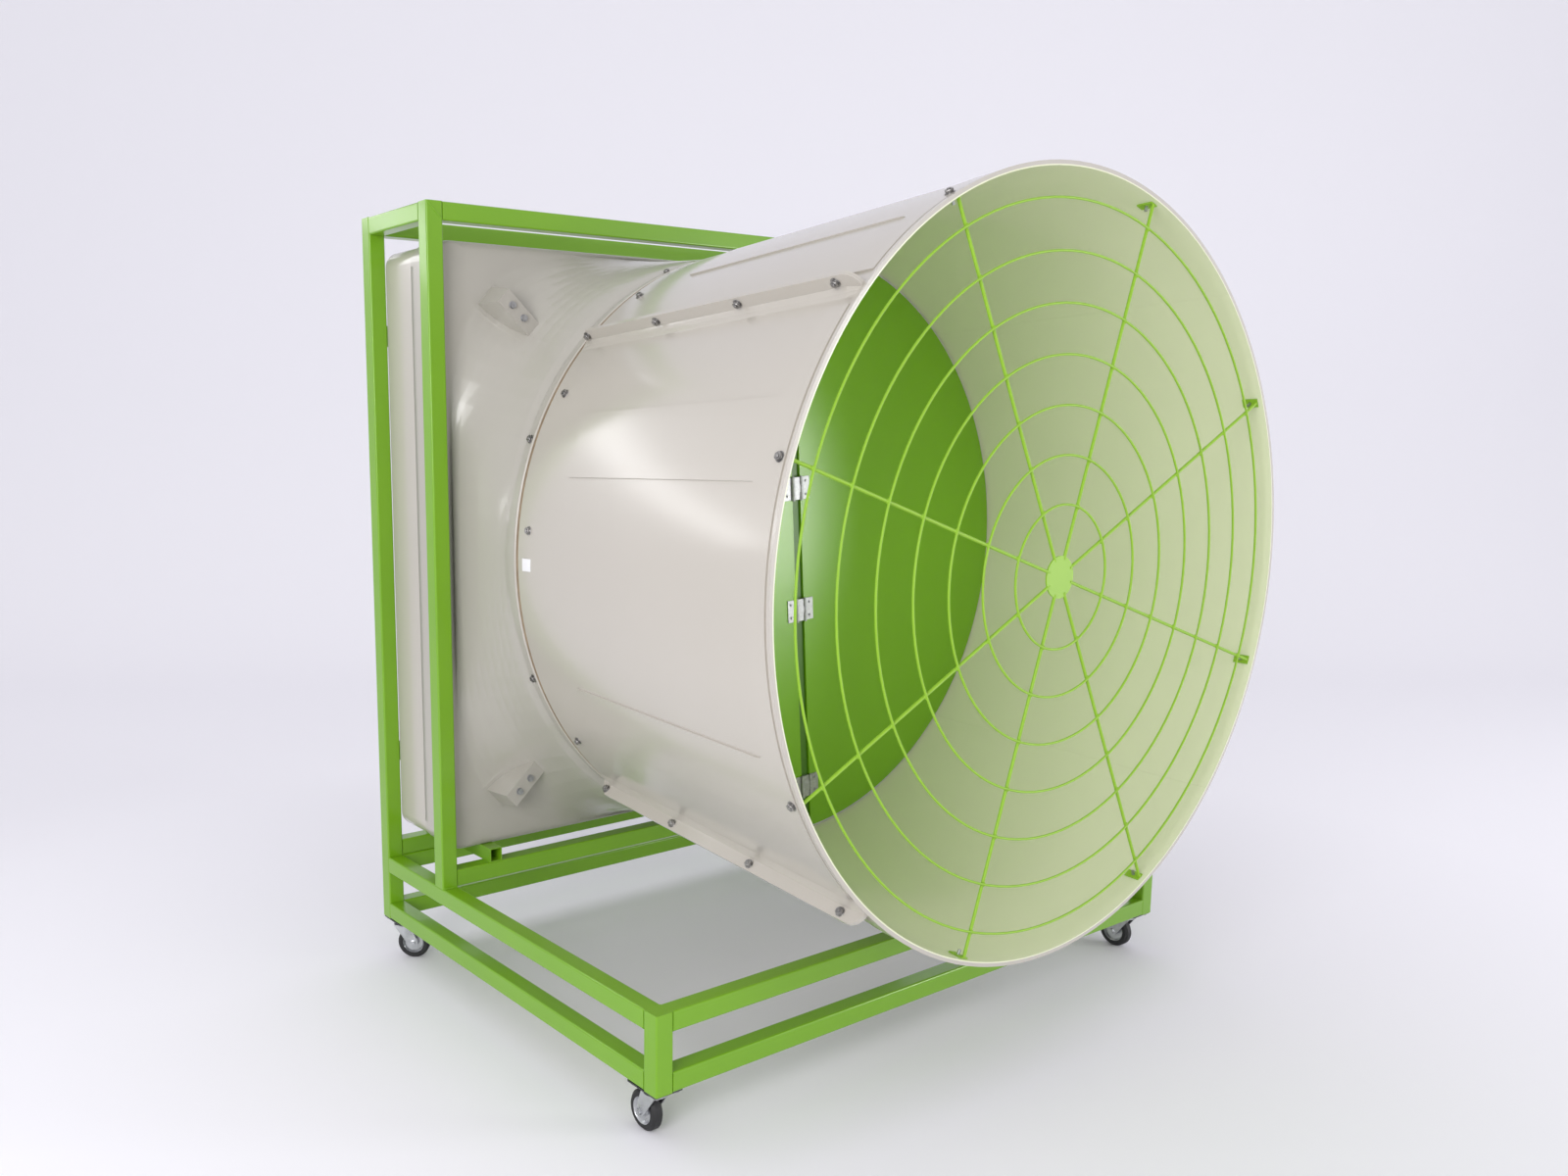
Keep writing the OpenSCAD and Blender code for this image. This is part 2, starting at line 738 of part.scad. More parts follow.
// Flat welded grid over the inlet: a frame of four bars with the cross bars between them, and the
// upright bars laid over both
module inlet_guard() {
    half_w = (tongue_w - 2 * shell - 2 * panel_gap) / 2;
    half_h = (tongue_hh - 2 * shell - 2 * panel_gap) / 2;
    cols = floor((2 * half_w - 2 * inlet_frame) / inlet_pitch);
    rows = floor((2 * half_h - 2 * inlet_frame) / inlet_pitch);
    grid_r = housing_round - shell;
    weld_gap = snug / 3;
    color(zinc) on_axis() translate([0, 0, inlet_guard_h]) {
        for (s = [0, 180]) rotate([0, 0, s]) linear_extrude(inlet_bar) {
            frame_bar(half_w, half_h, grid_r);
            rotate([0, 0, 90]) frame_bar(half_h, half_w, grid_r);
        }
        cross_len = 2 * (half_w - inlet_frame - weld_gap);
        for (i = [0 : rows]) translate([-cross_len / 2, (i - rows / 2) * inlet_pitch - inlet_bar / 2, 0])
            cube([cross_len, inlet_bar, inlet_bar]);
        upright_len = 2 * half_h - inlet_frame;
        for (i = [0 : cols]) translate([(i - cols / 2) * inlet_pitch - inlet_bar / 2, -upright_len / 2,
            inlet_bar + weld_gap])
            cube([inlet_bar, upright_len, inlet_bar]);
    }
}

// One bar of the grid's frame, on the right, with its ends cut clear of the housing's round corners
module frame_bar(reach, half_len, corner) {
    polygon([
        [reach, corner - half_len], [reach, half_len - corner],
        [reach - inlet_frame, half_len - inlet_frame - snug], [reach - inlet_frame, inlet_frame + snug - half_len]
    ]);
}

// Motor struts, plates and motor
module strut_bolt_places() {
    for (i = [0, 1]) translate([pad_reach - pad_bolt_edge - i * pad_bolt_pitch, 0, pad_top_h]) children();
}

module motor_struts() {
    strut_end = pad_reach - shell - strut_gap;
    color(dark_steel) on_axis() at_pads() difference() {
        translate([strut_start, 0, (strut_front_h + strut_back_h) / 2]) rotate([0, 90, 0])
            tube_run(strut_end - strut_start, strut, tube_wall, tube_wall);
        strut_bolt_places() bolt_hole(pad_bolt_d, 3 * strut);
    }
}

module strut_bolts() {
    color(zinc) on_axis() at_pads() strut_bolt_places() {
        bolt(pad_bolt_d, shell + snug + strut + pad_bolt_d);
        translate([0, 0, strut_back_h - pad_top_h - pad_bolt_d * nut_share]) nut(pad_bolt_d);
    }
}

module motor_plates() {
    color(dark_steel) on_axis() for (h = [strut_front_h, strut_back_h - plate_t])
        translate([0, 0, h]) difference() {
            linear_extrude(plate_t) round_rect(motor_plate_w, motor_plate_w, strut / 2);
            cylinder(h = 4 * plate_t, d = shaft_d + 2 * tube_wall, center = true, $fn = 48);
            motor_bolt_places() bolt_hole(motor_bolt_d, 4 * plate_t);
        }
}

module motor_bolt_places() {
    for (a = [0 : 90 : 270]) rotate([0, 0, a]) translate([motor_bolt_circle / 2, 0, 0]) children();
}

motor_h = strut_front_h + plate_t;

module motor() {
    body_h = motor_h + motor_flange_t;
    fan_cover = motor_len / 5;
    color(blue_grey) on_axis() difference() {
        union() {
            translate([0, 0, motor_h]) cylinder(h = motor_flange_t, d = motor_flange_d);
            translate([0, 0, body_h]) cylinder(h = motor_len - motor_flange_t, d = motor_d - 2 * fin_out);
            translate([0, 0, motor_h + motor_len - fan_cover]) cylinder(h = fan_cover, d = motor_d);
            for (i = [0 : fin_count - 1]) rotate([0, 0, 360 * i / fin_count])
                translate([motor_d / 2 - 2 * fin_out, -fin_t / 2, body_h])
                    cube([2 * fin_out - fin_t / 2, fin_t, motor_len - motor_flange_t - fan_cover]);
        }
        translate([0, 0, motor_h]) cylinder(h = motor_len, d = shaft_d + 2 * snug, center = true, $fn = 48);
        translate([0, 0, motor_h]) motor_bolt_places() bolt_hole(motor_bolt_d, 4 * motor_flange_t);
    }
}

module motor_terminal_box() {
    box = [motor_d * 0.42, motor_d * 0.24, motor_len * 0.42];
    color(blue_grey) on_axis()
        translate([-box.x / 2, motor_d / 2 - fin_t / 2 + snug, motor_h + motor_flange_t + motor_len * 0.12]) {
            cube(box);
            translate([box.x / 2, box.y, box.z / 2]) rotate([-90, 0, 0])
                linear_extrude(fin_t) round_rect(box.x + 2 * fin_t, box.z + 2 * fin_t, fin_t);
        }
}

module motor_bolts() {
    grip = motor_flange_t + plate_t;
    color(zinc) on_axis() motor_bolt_places() translate([0, 0, motor_h + motor_flange_t]) {
        bolt(motor_bolt_d, grip + motor_bolt_d);
        translate([0, 0, -grip - motor_bolt_d * nut_share]) nut(motor_bolt_d);
    }
}

// Impeller, which turns with its shaft
module motor_shaft() {
    shaft_end = hub_h - hub_len - shaft_r;
    color(zinc) on_axis() translate([0, 0, shaft_end])
        cylinder(h = motor_h + motor_len / 3 - shaft_end, d = shaft_d, $fn = 48);
}

module impeller_hub() {
    disc_t = hub_len * 0.16;
    color(dark_steel) on_axis() translate([0, 0, hub_h - hub_len]) difference() {
        union() {
            cylinder(h = hub_len, d = shaft_d * 2.2);
            translate([0, 0, hub_len / 2 - disc_t / 2]) cylinder(h = disc_t, d = hub_d);
            for (i = [0 : blades - 1]) rotate([0, 0, 360 * i / blades])
                translate([hub_d / 2 - hub_len * 0.35, 0, hub_len / 2]) rotate([blade_root_pitch, 0, 0])
                    translate([0, -hub_len * 0.4, -disc_t - blade_t / 2 - snug])
                        cube([hub_len * 0.95, hub_len * 0.8, disc_t]);
        }
        translate([0, 0, -cut]) cylinder(h = hub_len + 2 * cut, d = shaft_d + snug / 3, $fn = 48);
        blade_bolt_places() bolt_hole(blade_bolt_d, 4 * disc_t);
    }
}

module blade_bolt_places() {
    for (i = [0 : blades - 1]) rotate([0, 0, 360 * i / blades])
        translate([hub_d / 2 + hub_len * 0.35, 0, hub_len / 2]) rotate([blade_root_pitch, 0, 0])
            for (s = [-1, 1]) translate([0, s * hub_len * 0.22, 0]) children();
}

// One blade section at share t of the span: a thin cambered plate, pitched about the blade's line
function blade_at(t) =
    let (
        r = hub_d / 2 + hub_len * 0.12 + (fan_d / 2 - hub_d / 2 - hub_len * 0.12) * t,
        chord = blade_root_chord + (blade_tip_chord - blade_root_chord) * t,
        turned = max(0, t - blade_flat_share) / (1 - blade_flat_share),
        pitch = blade_root_pitch + (blade_tip_pitch - blade_root_pitch) * turned,
        camber = blade_camber_share * min(1, turned * 3),
        back = [for (k = [0 : blade_cells]) let (u = k / blade_cells) [u, 1]],
        front = [for (k = [0 : blade_cells]) let (u = 1 - k / blade_cells) [u, -1]]
    )
    [for (p = concat(back, front))
        let (
            y = (p.x - 0.5) * chord,
            z = camber * chord * 4 * p.x * (1 - p.x) + p.y * blade_t / 2
        )
        [r, y * cos(pitch) - z * sin(pitch), y * sin(pitch) + z * cos(pitch)]];

module impeller_blades() {
    color(zinc) on_axis() translate([0, 0, hub_h - hub_len]) difference() {
        for (i = [0 : blades - 1]) rotate([0, 0, 360 * i / blades]) translate([0, 0, hub_len / 2])
            skinned([for (k = [0 : blade_steps]) [for (p = blade_at(k / blade_steps)) p]]);
        blade_bolt_places() bolt_hole(blade_bolt_d, hub_len / 2);
    }
}

module blade_bolts() {
    color(zinc) on_axis() translate([0, 0, hub_h - hub_len]) blade_bolt_places()
        translate([0, 0, blade_t / 2 + snug]) bolt(blade_bolt_d, blade_t + hub_len * 0.16 + blade_bolt_d / 2);
}

// Outlet cone: four moulded quarters with flanged seams
module wall_profile() {
    lip_h = mouth_h - rim_len;
    polygon([
        [cone_in(joint_h), joint_h], [cone_out(joint_h), joint_h], [cone_out(lip_h), lip_h],
        [cone_in(lip_h) + rim_t, lip_h + (rim_t - cone_wall)], [cone_in(mouth_h) + rim_t, mouth_h],
        [cone_in(mouth_h), mouth_h]
    ]);
}

// A seam flange in the plane y = 0, seen with x outwards and z along the cone
module seam_flange() {
    start = joint_h + flange_start;
    end = mouth_h - rim_len + rim_t - 2 * fillet_bite;
    rotate([90, 0, 0]) linear_extrude(flange_t) polygon(concat(
        [[cone_in(start) + cone_wall / 2, start], [cone_out(start + flange_cut) + flange_h, start + flange_cut]],
        [for (k = [0 : flange_steps])
            let (a = 90 * k / flange_steps, h = end - flange_curve + flange_curve * sin(a))
                [cone_out(h) + flange_h * max(cos(a), 0), h]],
        [[cone_in(end) + cone_wall / 2, end]]
    ));
}

// The moulded fillet between a flange and the wall, on the flange's +y side; up is its height
function fillet_ring(h, up) =
    let (r = cone_out(h))
    concat(
        [[r - cone_wall / 2, flange_t / 2, h], [r + up, flange_t / 2, h]],
        [for (t = fillet_shares)
            let (y = flange_t + fillet_w * t)
                [sqrt(r * r - y * y) + up * pow(1 - t, 2.2) - fillet_bite * t, y, h]],
        [[sqrt(r * r - pow(flange_t + fillet_w, 2)) - cone_wall / 2, flange_t + fillet_w, h]]
    );

module seam_fillet() {
    start = joint_h + flange_start;
    end = mouth_h - rim_len / 2;
    skinned([
        fillet_ring(start, fillet_up / 4), fillet_ring(start + flange_cut, fillet_up),
        fillet_ring(end - flange_curve, fillet_up), fillet_ring(end, fillet_up / 3)
    ]);
}

module seam_bolt_places() {
    start = joint_h + flange_start + seam_bolt_start;
    end = mouth_h - seam_bolt_end;
    for (i = [0 : seam_bolt_count - 1]) {
        h = start + (end - start) * i / (seam_bolt_count - 1);
        translate([cone_out(h) + flange_h * seam_bolt_share, 0, h]) rotate([90, 0, 0]) children();
    }
}

// Bolts that stand square to a wall, at angle a around it and height h along it
module on_wall(a, h, r, slope = 0) {
    rotate([0, 0, a]) translate([r, 0, h]) rotate([0, 90 + slope, 0]) children();
}

module joint_bolt_places() {
    for (q = [0 : 90 : 270], a = joint_bolt_angles)
        on_wall(q - a + outlet_turn, joint_bolt_h, cone_out(joint_bolt_h) + snug, cone_slope) children();
}

module collar_bolt_places() {
    for (a = [22.5 : 45 : 337.5]) on_wall(a, collar_bolt_h, collar_r + snug) children();
}

module guard_bolt_places() {
    bolt_h = guard_h - guard_bolt_back;
    for (i = [0 : spokes - 1])
        on_wall(spoke_pitch * (i + 0.5), bolt_h, cone_out(bolt_h) + snug, cone_slope) children();
}

module cone_segment(middle) {
    color(cream) on_seams() difference() {
        union() {
            rotate([0, 0, middle - 45]) {
                rotate_extrude(angle = 90, $fn = 180) wall_profile();
                translate([0, flange_t, 0]) seam_flange();
                seam_fillet();
            }
            rotate([0, 0, middle + 45]) {
                seam_flange();
                mirror([0, 1, 0]) seam_fillet();
            }
        }
        for (a = [-45, 45]) rotate([0, 0, middle + a]) seam_bolt_places() bolt_hole(seam_bolt_d, 6 * flange_t);
        rotate([0, 0, middle - 45]) translate([joint_d / 3, -snug, joint_h - cut])
            cube([joint_d, segment_gap / 2 + snug, cone_len + 2 * cut]);
        rotate([0, 0, outlet_turn - seam_turn]) guard_bolt_places() bolt_hole(guard_bolt_d, 8 * cone_wall);
        rotate([0, 0, -seam_turn]) joint_bolt_places() bolt_hole(joint_bolt_d, 8 * cone_wall);
    }
}

module cone_segment_right() { cone_segment(0); }
module cone_segment_top() { cone_segment(90); }
module cone_segment_left() { cone_segment(180); }
module cone_segment_bottom() { cone_segment(270); }

module seam_bolts() {
    color(zinc) on_seams() for (a = [45 : 90 : 315]) rotate([0, 0, a]) seam_bolt_places() {
        translate([0, 0, flange_t]) bolt(seam_bolt_d, 2 * flange_t + seam_bolt_d);
        translate([0, 0, -flange_t - seam_bolt_d * nut_share]) nut(seam_bolt_d);
    }
}

module collar_bolts() {
    color(zinc) on_axis() {
        joint_bolt_places() bolt(joint_bolt_d, cone_wall + shell + joint_bolt_d);
        collar_bolt_places() bolt(joint_bolt_d, shell + joint_bolt_d);
    }
}

// Shutter
module throat_ring() {
    back = shutter_h - ring_t;
    web = back - 2 * ring_ledge;
    color(cream) on_outlet() rotate_extrude($fn = 180) polygon([
        [cone_in(back) - ring_ledge, back], [cone_in(back) - ring_t - snug, back],
        [cone_in(web) - ring_t - snug, web], [cone_in(web) - 2 * snug, web],
        [cone_in(shutter_h) - 2 * snug, shutter_h], [cone_in(shutter_h) - ring_ledge, shutter_h]
    ]);
}

module centre_post() {
    ring_bore = cone_in(shutter_h - ring_t) - ring_ledge;
    post_len = 2 * (sqrt(ring_bore * ring_bore - post_w * post_w / 4) - snug);
    color(deep_green) on_outlet()
        translate([-post_w / 2, -post_len / 2, shutter_h - post_t]) cube([post_w, post_len, post_t]);
}

module hinge_places() {
    for (t = hinge_place_shares) translate([0, door_r * t, 0]) children();
}

// Fixed leaf between the doors, with the middle knuckle of each hinge
module hinge_brackets() {
    knuckle = hinge_h / 3;
    color(zinc) on_outlet() hinge_places() difference() {
        union() {
            translate([-hinge_bracket_w / 2, -hinge_h / 2, shutter_h])
                cube([hinge_bracket_w, hinge_h, pin_h - shutter_h]);
            for (s = [-1, 1]) translate([s * pin_x, 0, pin_h]) rotate([90, 0, 0])
                cylinder(h = knuckle - 2 * snug, r = barrel_r, center = true, $fn = 48);
            translate([-pin_x, -knuckle / 2 + snug, pin_h - leaf_t / 2])
                cube([2 * pin_x, knuckle - 2 * snug, leaf_t]);
        }
        for (s = [-1, 1]) translate([s * pin_x, 0, pin_h]) rotate([90, 0, 0])
            cylinder(h = 2 * hinge_h, r = pin_r + snug / 3, center = true, $fn = 48);
    }
}

module hinge_pins() {
    color(zinc) on_outlet() hinge_places() for (s = [-1, 1]) translate([s * pin_x, 0, pin_h])
        rotate([90, 0, 0]) {
            cylinder(h = hinge_h + 2 * pin_r, r = pin_r, center = true, $fn = 48);
            for (e = [0, 180]) rotate([e, 0, 0]) translate([0, 0, hinge_h / 2 + snug])
                cylinder(h = pin_r, r = pin_r * 1.6, $fn = 48);
        }
}

// The right-hand door and its hinge leaves; the left ones are mirrored
module door_shape() {
    translate([0, 0, door_back_h]) difference() {
        linear_extrude(door_t) intersection() {
            circle(door_r, $fn = 180);
            translate([pin_x, -door_r]) square([door_r, 2 * door_r]);
        }
        hinge_places() for (s = [-1, 1])
            translate([pin_x + leaf_w * 0.62, s * hinge_h * 0.3, 0]) bolt_hole(door_screw_d / 2, 4 * door_t);
    }
}

module door_hinge_leaves() {
    knuckle = hinge_h / 3;
    hinge_places() {
        difference() {
            union() {
                for (s = [-1, 1]) translate([pin_x, s * knuckle, pin_h]) rotate([90, 0, 0])
                    cylinder(h = knuckle, r = barrel_r, center = true, $fn = 48);
                for (s = [-1, 1]) translate([pin_x, s * knuckle - knuckle / 2, door_front_h])
                    cube([barrel_r * 2, knuckle, leaf_t]);
                translate([pin_x + barrel_r + 2 * snug, -hinge_h / 2, door_front_h])
                    cube([leaf_w - barrel_r, hinge_h, leaf_t]);
            }
            translate([pin_x, 0, pin_h]) rotate([90, 0, 0])
                cylinder(h = 2 * hinge_h, r = pin_r + snug / 3, center = true, $fn = 48);
            for (s = [-1, 1]) translate([pin_x + leaf_w * 0.62, s * hinge_h * 0.3, door_front_h])
                bolt_hole(door_screw_d / 2, 4 * leaf_t);
        }
        for (s = [-1, 1]) translate([pin_x + leaf_w * 0.62, s * hinge_h * 0.3, door_front_h + leaf_t])
            bolt(door_screw_d / 2, leaf_t + door_t);
    }
}

module door_right() { color(green) on_outlet() door_shape(); }
module door_left() { color(green) on_outlet() mirror([1, 0, 0]) door_shape(); }
module door_right_hinges() { color(zinc) on_outlet() door_hinge_leaves(); }
module door_left_hinges() { color(zinc) on_outlet() mirror([1, 0, 0]) door_hinge_leaves(); }

// Wire guard over the mouth: rings welded to spokes that end in bolted tabs
module outlet_guard() {
    color(green) on_outlet() difference() {
        guard_wires();
        guard_bolt_places() bolt_hole(guard_bolt_d, 6 * spoke_wire);
    }
}

module guard_wires() {
    ring_step = (guard_r - guard_r_min) / (guard_rings - 1);
    spoke_h = guard_h - ring_wire / 2 - spoke_wire / 2 + weld_bite;
    for (i = [0 : guard_rings - 1]) translate([0, 0, guard_h])
        rotate_extrude($fn = 180) translate([guard_r_min + i * ring_step, 0]) circle(d = ring_wire, $fn = 16);
    for (i = [0 : spokes - 1]) rotate([0, 0, spoke_pitch * (i + 0.5)]) {
        spoke_end = cone_in(spoke_h) - tab_t / 2 - 2 * snug;
        translate([guard_disc_d / 2 - spoke_wire, 0, spoke_h]) rotate([0, 90, 0])
            cylinder(h = spoke_end - guard_disc_d / 2 + spoke_wire, d = spoke_wire, $fn = 24);
    }
    translate([0, 0, spoke_h - guard_disc_t / 2]) cylinder(h = guard_disc_t, d = guard_disc_d);
    guard_tabs();
}

// Flat tab at each spoke's end, lying along the inside of the cone
module guard_tabs() {
    tab_top = guard_h - ring_wire / 2;
    for (i = [0 : spokes - 1]) rotate([0, 0, spoke_pitch * (i + 0.5)])
        translate([cone_in(tab_top) - 2 * snug, 0, tab_top]) rotate([0, cone_slope, 0])
            translate([-tab_t, -tab_w / 2, -tab_l]) cube([tab_t, tab_w, tab_l]);
}

module guard_bolts() {
    color(zinc) on_outlet() guard_bolt_places() bolt(guard_bolt_d, cone_wall + spoke_wire + guard_bolt_d);
}

front_corner_posts();
rear_posts();
front_uprights();
lower_side_rails();
lower_cross_rails();
upper_side_rails();
upper_cross_rails();
top_side_rails();
top_cross_rails();
housing_cross_tubes();
housing_bearers();
tube_end_caps();
housing_clips();
caster_plates();
caster_plate_bolts();
caster_fork_fl();
caster_fork_fr();
caster_fork_rl();
caster_fork_rr();
caster_hub_fl();
caster_hub_fr();
caster_hub_rl();
caster_hub_rr();
caster_tyre_fl();
caster_tyre_fr();
caster_tyre_rl();
caster_tyre_rr();
housing_front();
housing_rear();
housing_bolts();
venturi_panel();
inlet_guard();
motor_struts();
strut_bolts();
motor_plates();
motor();
motor_terminal_box();
motor_bolts();
motor_shaft();
impeller_hub();
impeller_blades();
blade_bolts();
cone_segment_right();
cone_segment_top();
cone_segment_left();
cone_segment_bottom();
seam_bolts();
collar_bolts();
throat_ring();
centre_post();
hinge_brackets();
hinge_pins();
door_left();
door_right();
door_left_hinges();
door_right_hinges();
outlet_guard();
guard_bolts();
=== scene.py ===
# %% [markdown]
# # A mobile exhaust fan
# The CAD model is loaded first and stays fixed, so every size and place below is read from it.
# Blender adds what the CAD model leaves plain: the finishes, the weld beads and the mould lines.

# %% Load the fixed frame
import bpy, math
from mathutils import Matrix, Vector


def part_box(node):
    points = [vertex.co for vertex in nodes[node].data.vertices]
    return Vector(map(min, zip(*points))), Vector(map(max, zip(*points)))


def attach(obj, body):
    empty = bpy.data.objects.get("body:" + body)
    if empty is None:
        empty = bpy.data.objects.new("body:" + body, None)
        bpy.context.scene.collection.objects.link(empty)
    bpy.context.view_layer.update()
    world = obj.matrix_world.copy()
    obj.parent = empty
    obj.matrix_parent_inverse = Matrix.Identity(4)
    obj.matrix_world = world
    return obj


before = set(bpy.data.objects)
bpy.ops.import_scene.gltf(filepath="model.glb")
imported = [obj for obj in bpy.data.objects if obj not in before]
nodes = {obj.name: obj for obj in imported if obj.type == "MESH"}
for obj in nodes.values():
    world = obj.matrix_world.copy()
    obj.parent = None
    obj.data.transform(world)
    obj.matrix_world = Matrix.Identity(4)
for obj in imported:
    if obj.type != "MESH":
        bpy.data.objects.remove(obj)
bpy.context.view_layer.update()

# %% [markdown]
# The camera stands at eye height to the left of the mouth and looks slightly down.
# Its angle, height and lens were fitted to the frame's corners and the mouth's outline.
# The picture's centre is off the lens's axis, so a small shift frames the fan as the photograph does.

# %% Camera at the photograph's view
eye = Vector((-2.685, -2.7472, 1.6537))
turn_right, tilt_down, roll = math.radians(35.448), math.radians(8.982), math.radians(-0.228)
bpy.ops.object.camera_add(location=eye)
camera = bpy.context.object
camera.name = "photo_camera"
camera.matrix_world = (
    Matrix.Translation(eye)
    @ Matrix.Rotation(-turn_right, 4, "Z")
    @ Matrix.Rotation(math.radians(90) - tilt_down, 4, "X")
    @ Matrix.Rotation(roll, 4, "Z")
)
camera.data.sensor_width = 36
camera.data.lens = 29.73
camera.data.shift_x, camera.data.shift_y = 0.1125, 0.0281
bpy.context.scene.camera = camera
bpy.context.scene.view_settings.view_transform = "Standard"
print("camera at", tuple(eye))

# %% [markdown]
# Every finish is a small node tree round one Principled shader. A noise breaks up the colour,
# a finer one the gloss, and a bump gives the paint's orange peel or the casting's skin.
# One helper builds them all, because they differ only in colours, scales and amounts.

# %% A helper for finishes
def finish(name, light, dark, patch_size, gloss, gloss_spread, skin_size, skin_depth, **shader_values):
    """A material whose colour runs between light and dark and whose roughness varies round gloss."""
    material = bpy.data.materials.new(name)
    material.use_nodes = True
    tree = material.node_tree
    shader = tree.nodes["Principled BSDF"]
    place = tree.nodes.new("ShaderNodeTexCoord")
    patches = tree.nodes.new("ShaderNodeTexNoise")
    patches.inputs["Scale"].default_value = 1 / patch_size
    patches.inputs["Detail"].default_value = 5
    tree.links.new(place.outputs["Object"], patches.inputs["Vector"])
    colours = tree.nodes.new("ShaderNodeValToRGB")
    colours.color_ramp.elements[0].position, colours.color_ramp.elements[1].position = 0.35, 0.65
    colours.color_ramp.elements[0].color = (*dark, 1)
    colours.color_ramp.elements[1].color = (*light, 1)
    tree.links.new(patches.outputs["Fac"], colours.inputs["Fac"])
    tree.links.new(colours.outputs["Color"], shader.inputs["Base Color"])
    skin = tree.nodes.new("ShaderNodeTexNoise")
    skin.inputs["Scale"].default_value = 1 / skin_size
    skin.inputs["Detail"].default_value = 3
    tree.links.new(place.outputs["Object"], skin.inputs["Vector"])
    spread = tree.nodes.new("ShaderNodeMapRange")
    spread.inputs["To Min"].default_value = gloss - gloss_spread
    spread.inputs["To Max"].default_value = gloss + gloss_spread
    tree.links.new(patches.outputs["Fac"], spread.inputs["Value"])
    tree.links.new(spread.outputs["Result"], shader.inputs["Roughness"])
    bump = tree.nodes.new("ShaderNodeBump")
    bump.inputs["Strength"].default_value = 0.5
    bump.inputs["Distance"].default_value = skin_depth
    tree.links.new(skin.outputs["Fac"], bump.inputs["Height"])
    tree.links.new(bump.outputs["Normal"], shader.inputs["Normal"])
    for socket, value in shader_values.items():
        shader.inputs[socket.replace("_", " ")].default_value = value
    print("finish", name)
    return material


# %% [markdown]
# The housing's bell has narrow flat facets in the CAD model. A Bevel node rounds their shading, but
# it would melt the strut pads too. So a mask of Object coordinates keeps a strip along each diagonal
# as it is, which is where the pads stand.

# %% A helper that softens the bell
def soften(material, reach, centre, pad_angle, pad_half):
    """Rounds the shading over the bell's narrow facets, except on the four pads along the diagonals."""
    tree = material.node_tree
    rounded = tree.nodes.new("ShaderNodeBevel")
    rounded.samples = 8
    rounded.inputs["Radius"].default_value = reach
    plain = tree.nodes.new("ShaderNodeNewGeometry")
    place = tree.nodes.new("ShaderNodeTexCoord")
    from_axis = tree.nodes.new("ShaderNodeVectorMath")
    from_axis.operation = "SUBTRACT"
    from_axis.inputs[1].default_value = (0, 0, centre)
    one_quadrant = tree.nodes.new("ShaderNodeVectorMath")
    one_quadrant.operation = "ABSOLUTE"
    across = tree.nodes.new("ShaderNodeVectorMath")
    across.operation = "DOT_PRODUCT"
    across.inputs[1].default_value = (math.sin(pad_angle), 0, -math.cos(pad_angle))
    off_pad = tree.nodes.new("ShaderNodeMath")
    off_pad.operation = "ABSOLUTE"
    on_pad = tree.nodes.new("ShaderNodeMath")
    on_pad.operation = "LESS_THAN"
    on_pad.inputs[1].default_value = pad_half
    choice = tree.nodes.new("ShaderNodeMix")
    choice.data_type = "VECTOR"
    tree.links.new(place.outputs["Object"], from_axis.inputs[0])
    tree.links.new(from_axis.outputs["Vector"], one_quadrant.inputs[0])
    tree.links.new(one_quadrant.outputs["Vector"], across.inputs[0])
    tree.links.new(across.outputs["Value"], off_pad.inputs[0])
    tree.links.new(off_pad.outputs["Value"], on_pad.inputs[0])
    tree.links.new(on_pad.outputs["Value"], choice.inputs["Factor"])
    tree.links.new(rounded.outputs["Normal"], choice.inputs["A"])
    tree.links.new(plain.outputs["Normal"], choice.inputs["B"])
    tree.links.new(choice.outputs["Result"], tree.nodes["Bump"].inputs["Normal"])
    print("softened", material.name)


# %% [markdown]
# A CAD node brings its own empty slot, so its slots are cleared before the finish goes on.

# %% A helper that paints CAD nodes
def paint(material, *names):
    """Gives CAD nodes, by name, a finish."""
    for name in names:
        mesh = nodes[name].data
        mesh.materials.clear()
        mesh.materials.append(material)
    print(material.name, "on", len(names), "nodes")


# %% [markdown]
# The trolley and the wire guard are powder coated in a lively yellow green. The coat is thick
# and glossy, with a faint orange peel, so it has a clear coat over a slightly rough base.

# %% Green powder coat on the tubes and the guard
tube_green = finish("tube_green", (0.18, 0.395, 0.010), (0.17, 0.38, 0.009), 0.25, 0.3, 0.04, 0.004, 0.0002,
                    Coat_Weight=0.35, Coat_Roughness=0.1, Specular_IOR_Level=0.4)
guard_green = finish("guard_green", (0.28, 0.51, 0.035), (0.265, 0.49, 0.03), 0.1, 0.42, 0.05,
                     0.003, 0.0001, Coat_Weight=0.1, Coat_Roughness=0.4, Specular_IOR_Level=0.3)
paint(tube_green, "front_corner_posts", "rear_posts", "front_uprights", "lower_side_rails",
      "lower_cross_rails", "upper_side_rails", "upper_cross_rails", "top_side_rails", "top_cross_rails",
      "housing_cross_tubes", "housing_bearers", "tube_end_caps", "housing_clips")
paint(guard_green, "outlet_guard")

# %% [markdown]
# The shutter doors and their post are flat sheets of glossy green plastic, a little deeper in
# colour than the tubes, with soft cloudy patches in the colour.

# %% Green panel for the shutter
panel_green = finish("panel_green", (0.185, 0.445, 0.0004), (0.175, 0.425, 0.0004), 0.5, 0.4, 0.04,
                     0.02, 0.0003, Coat_Weight=0.9, Coat_Roughness=0.24, Specular_IOR_Level=0.1)
post_green = finish("post_green", (0.07, 0.2, 0.008), (0.055, 0.16, 0.006), 0.2, 0.35, 0.05, 0.01, 0.0002)
paint(panel_green, "door_left", "door_right")
paint(post_green, "centre_post")

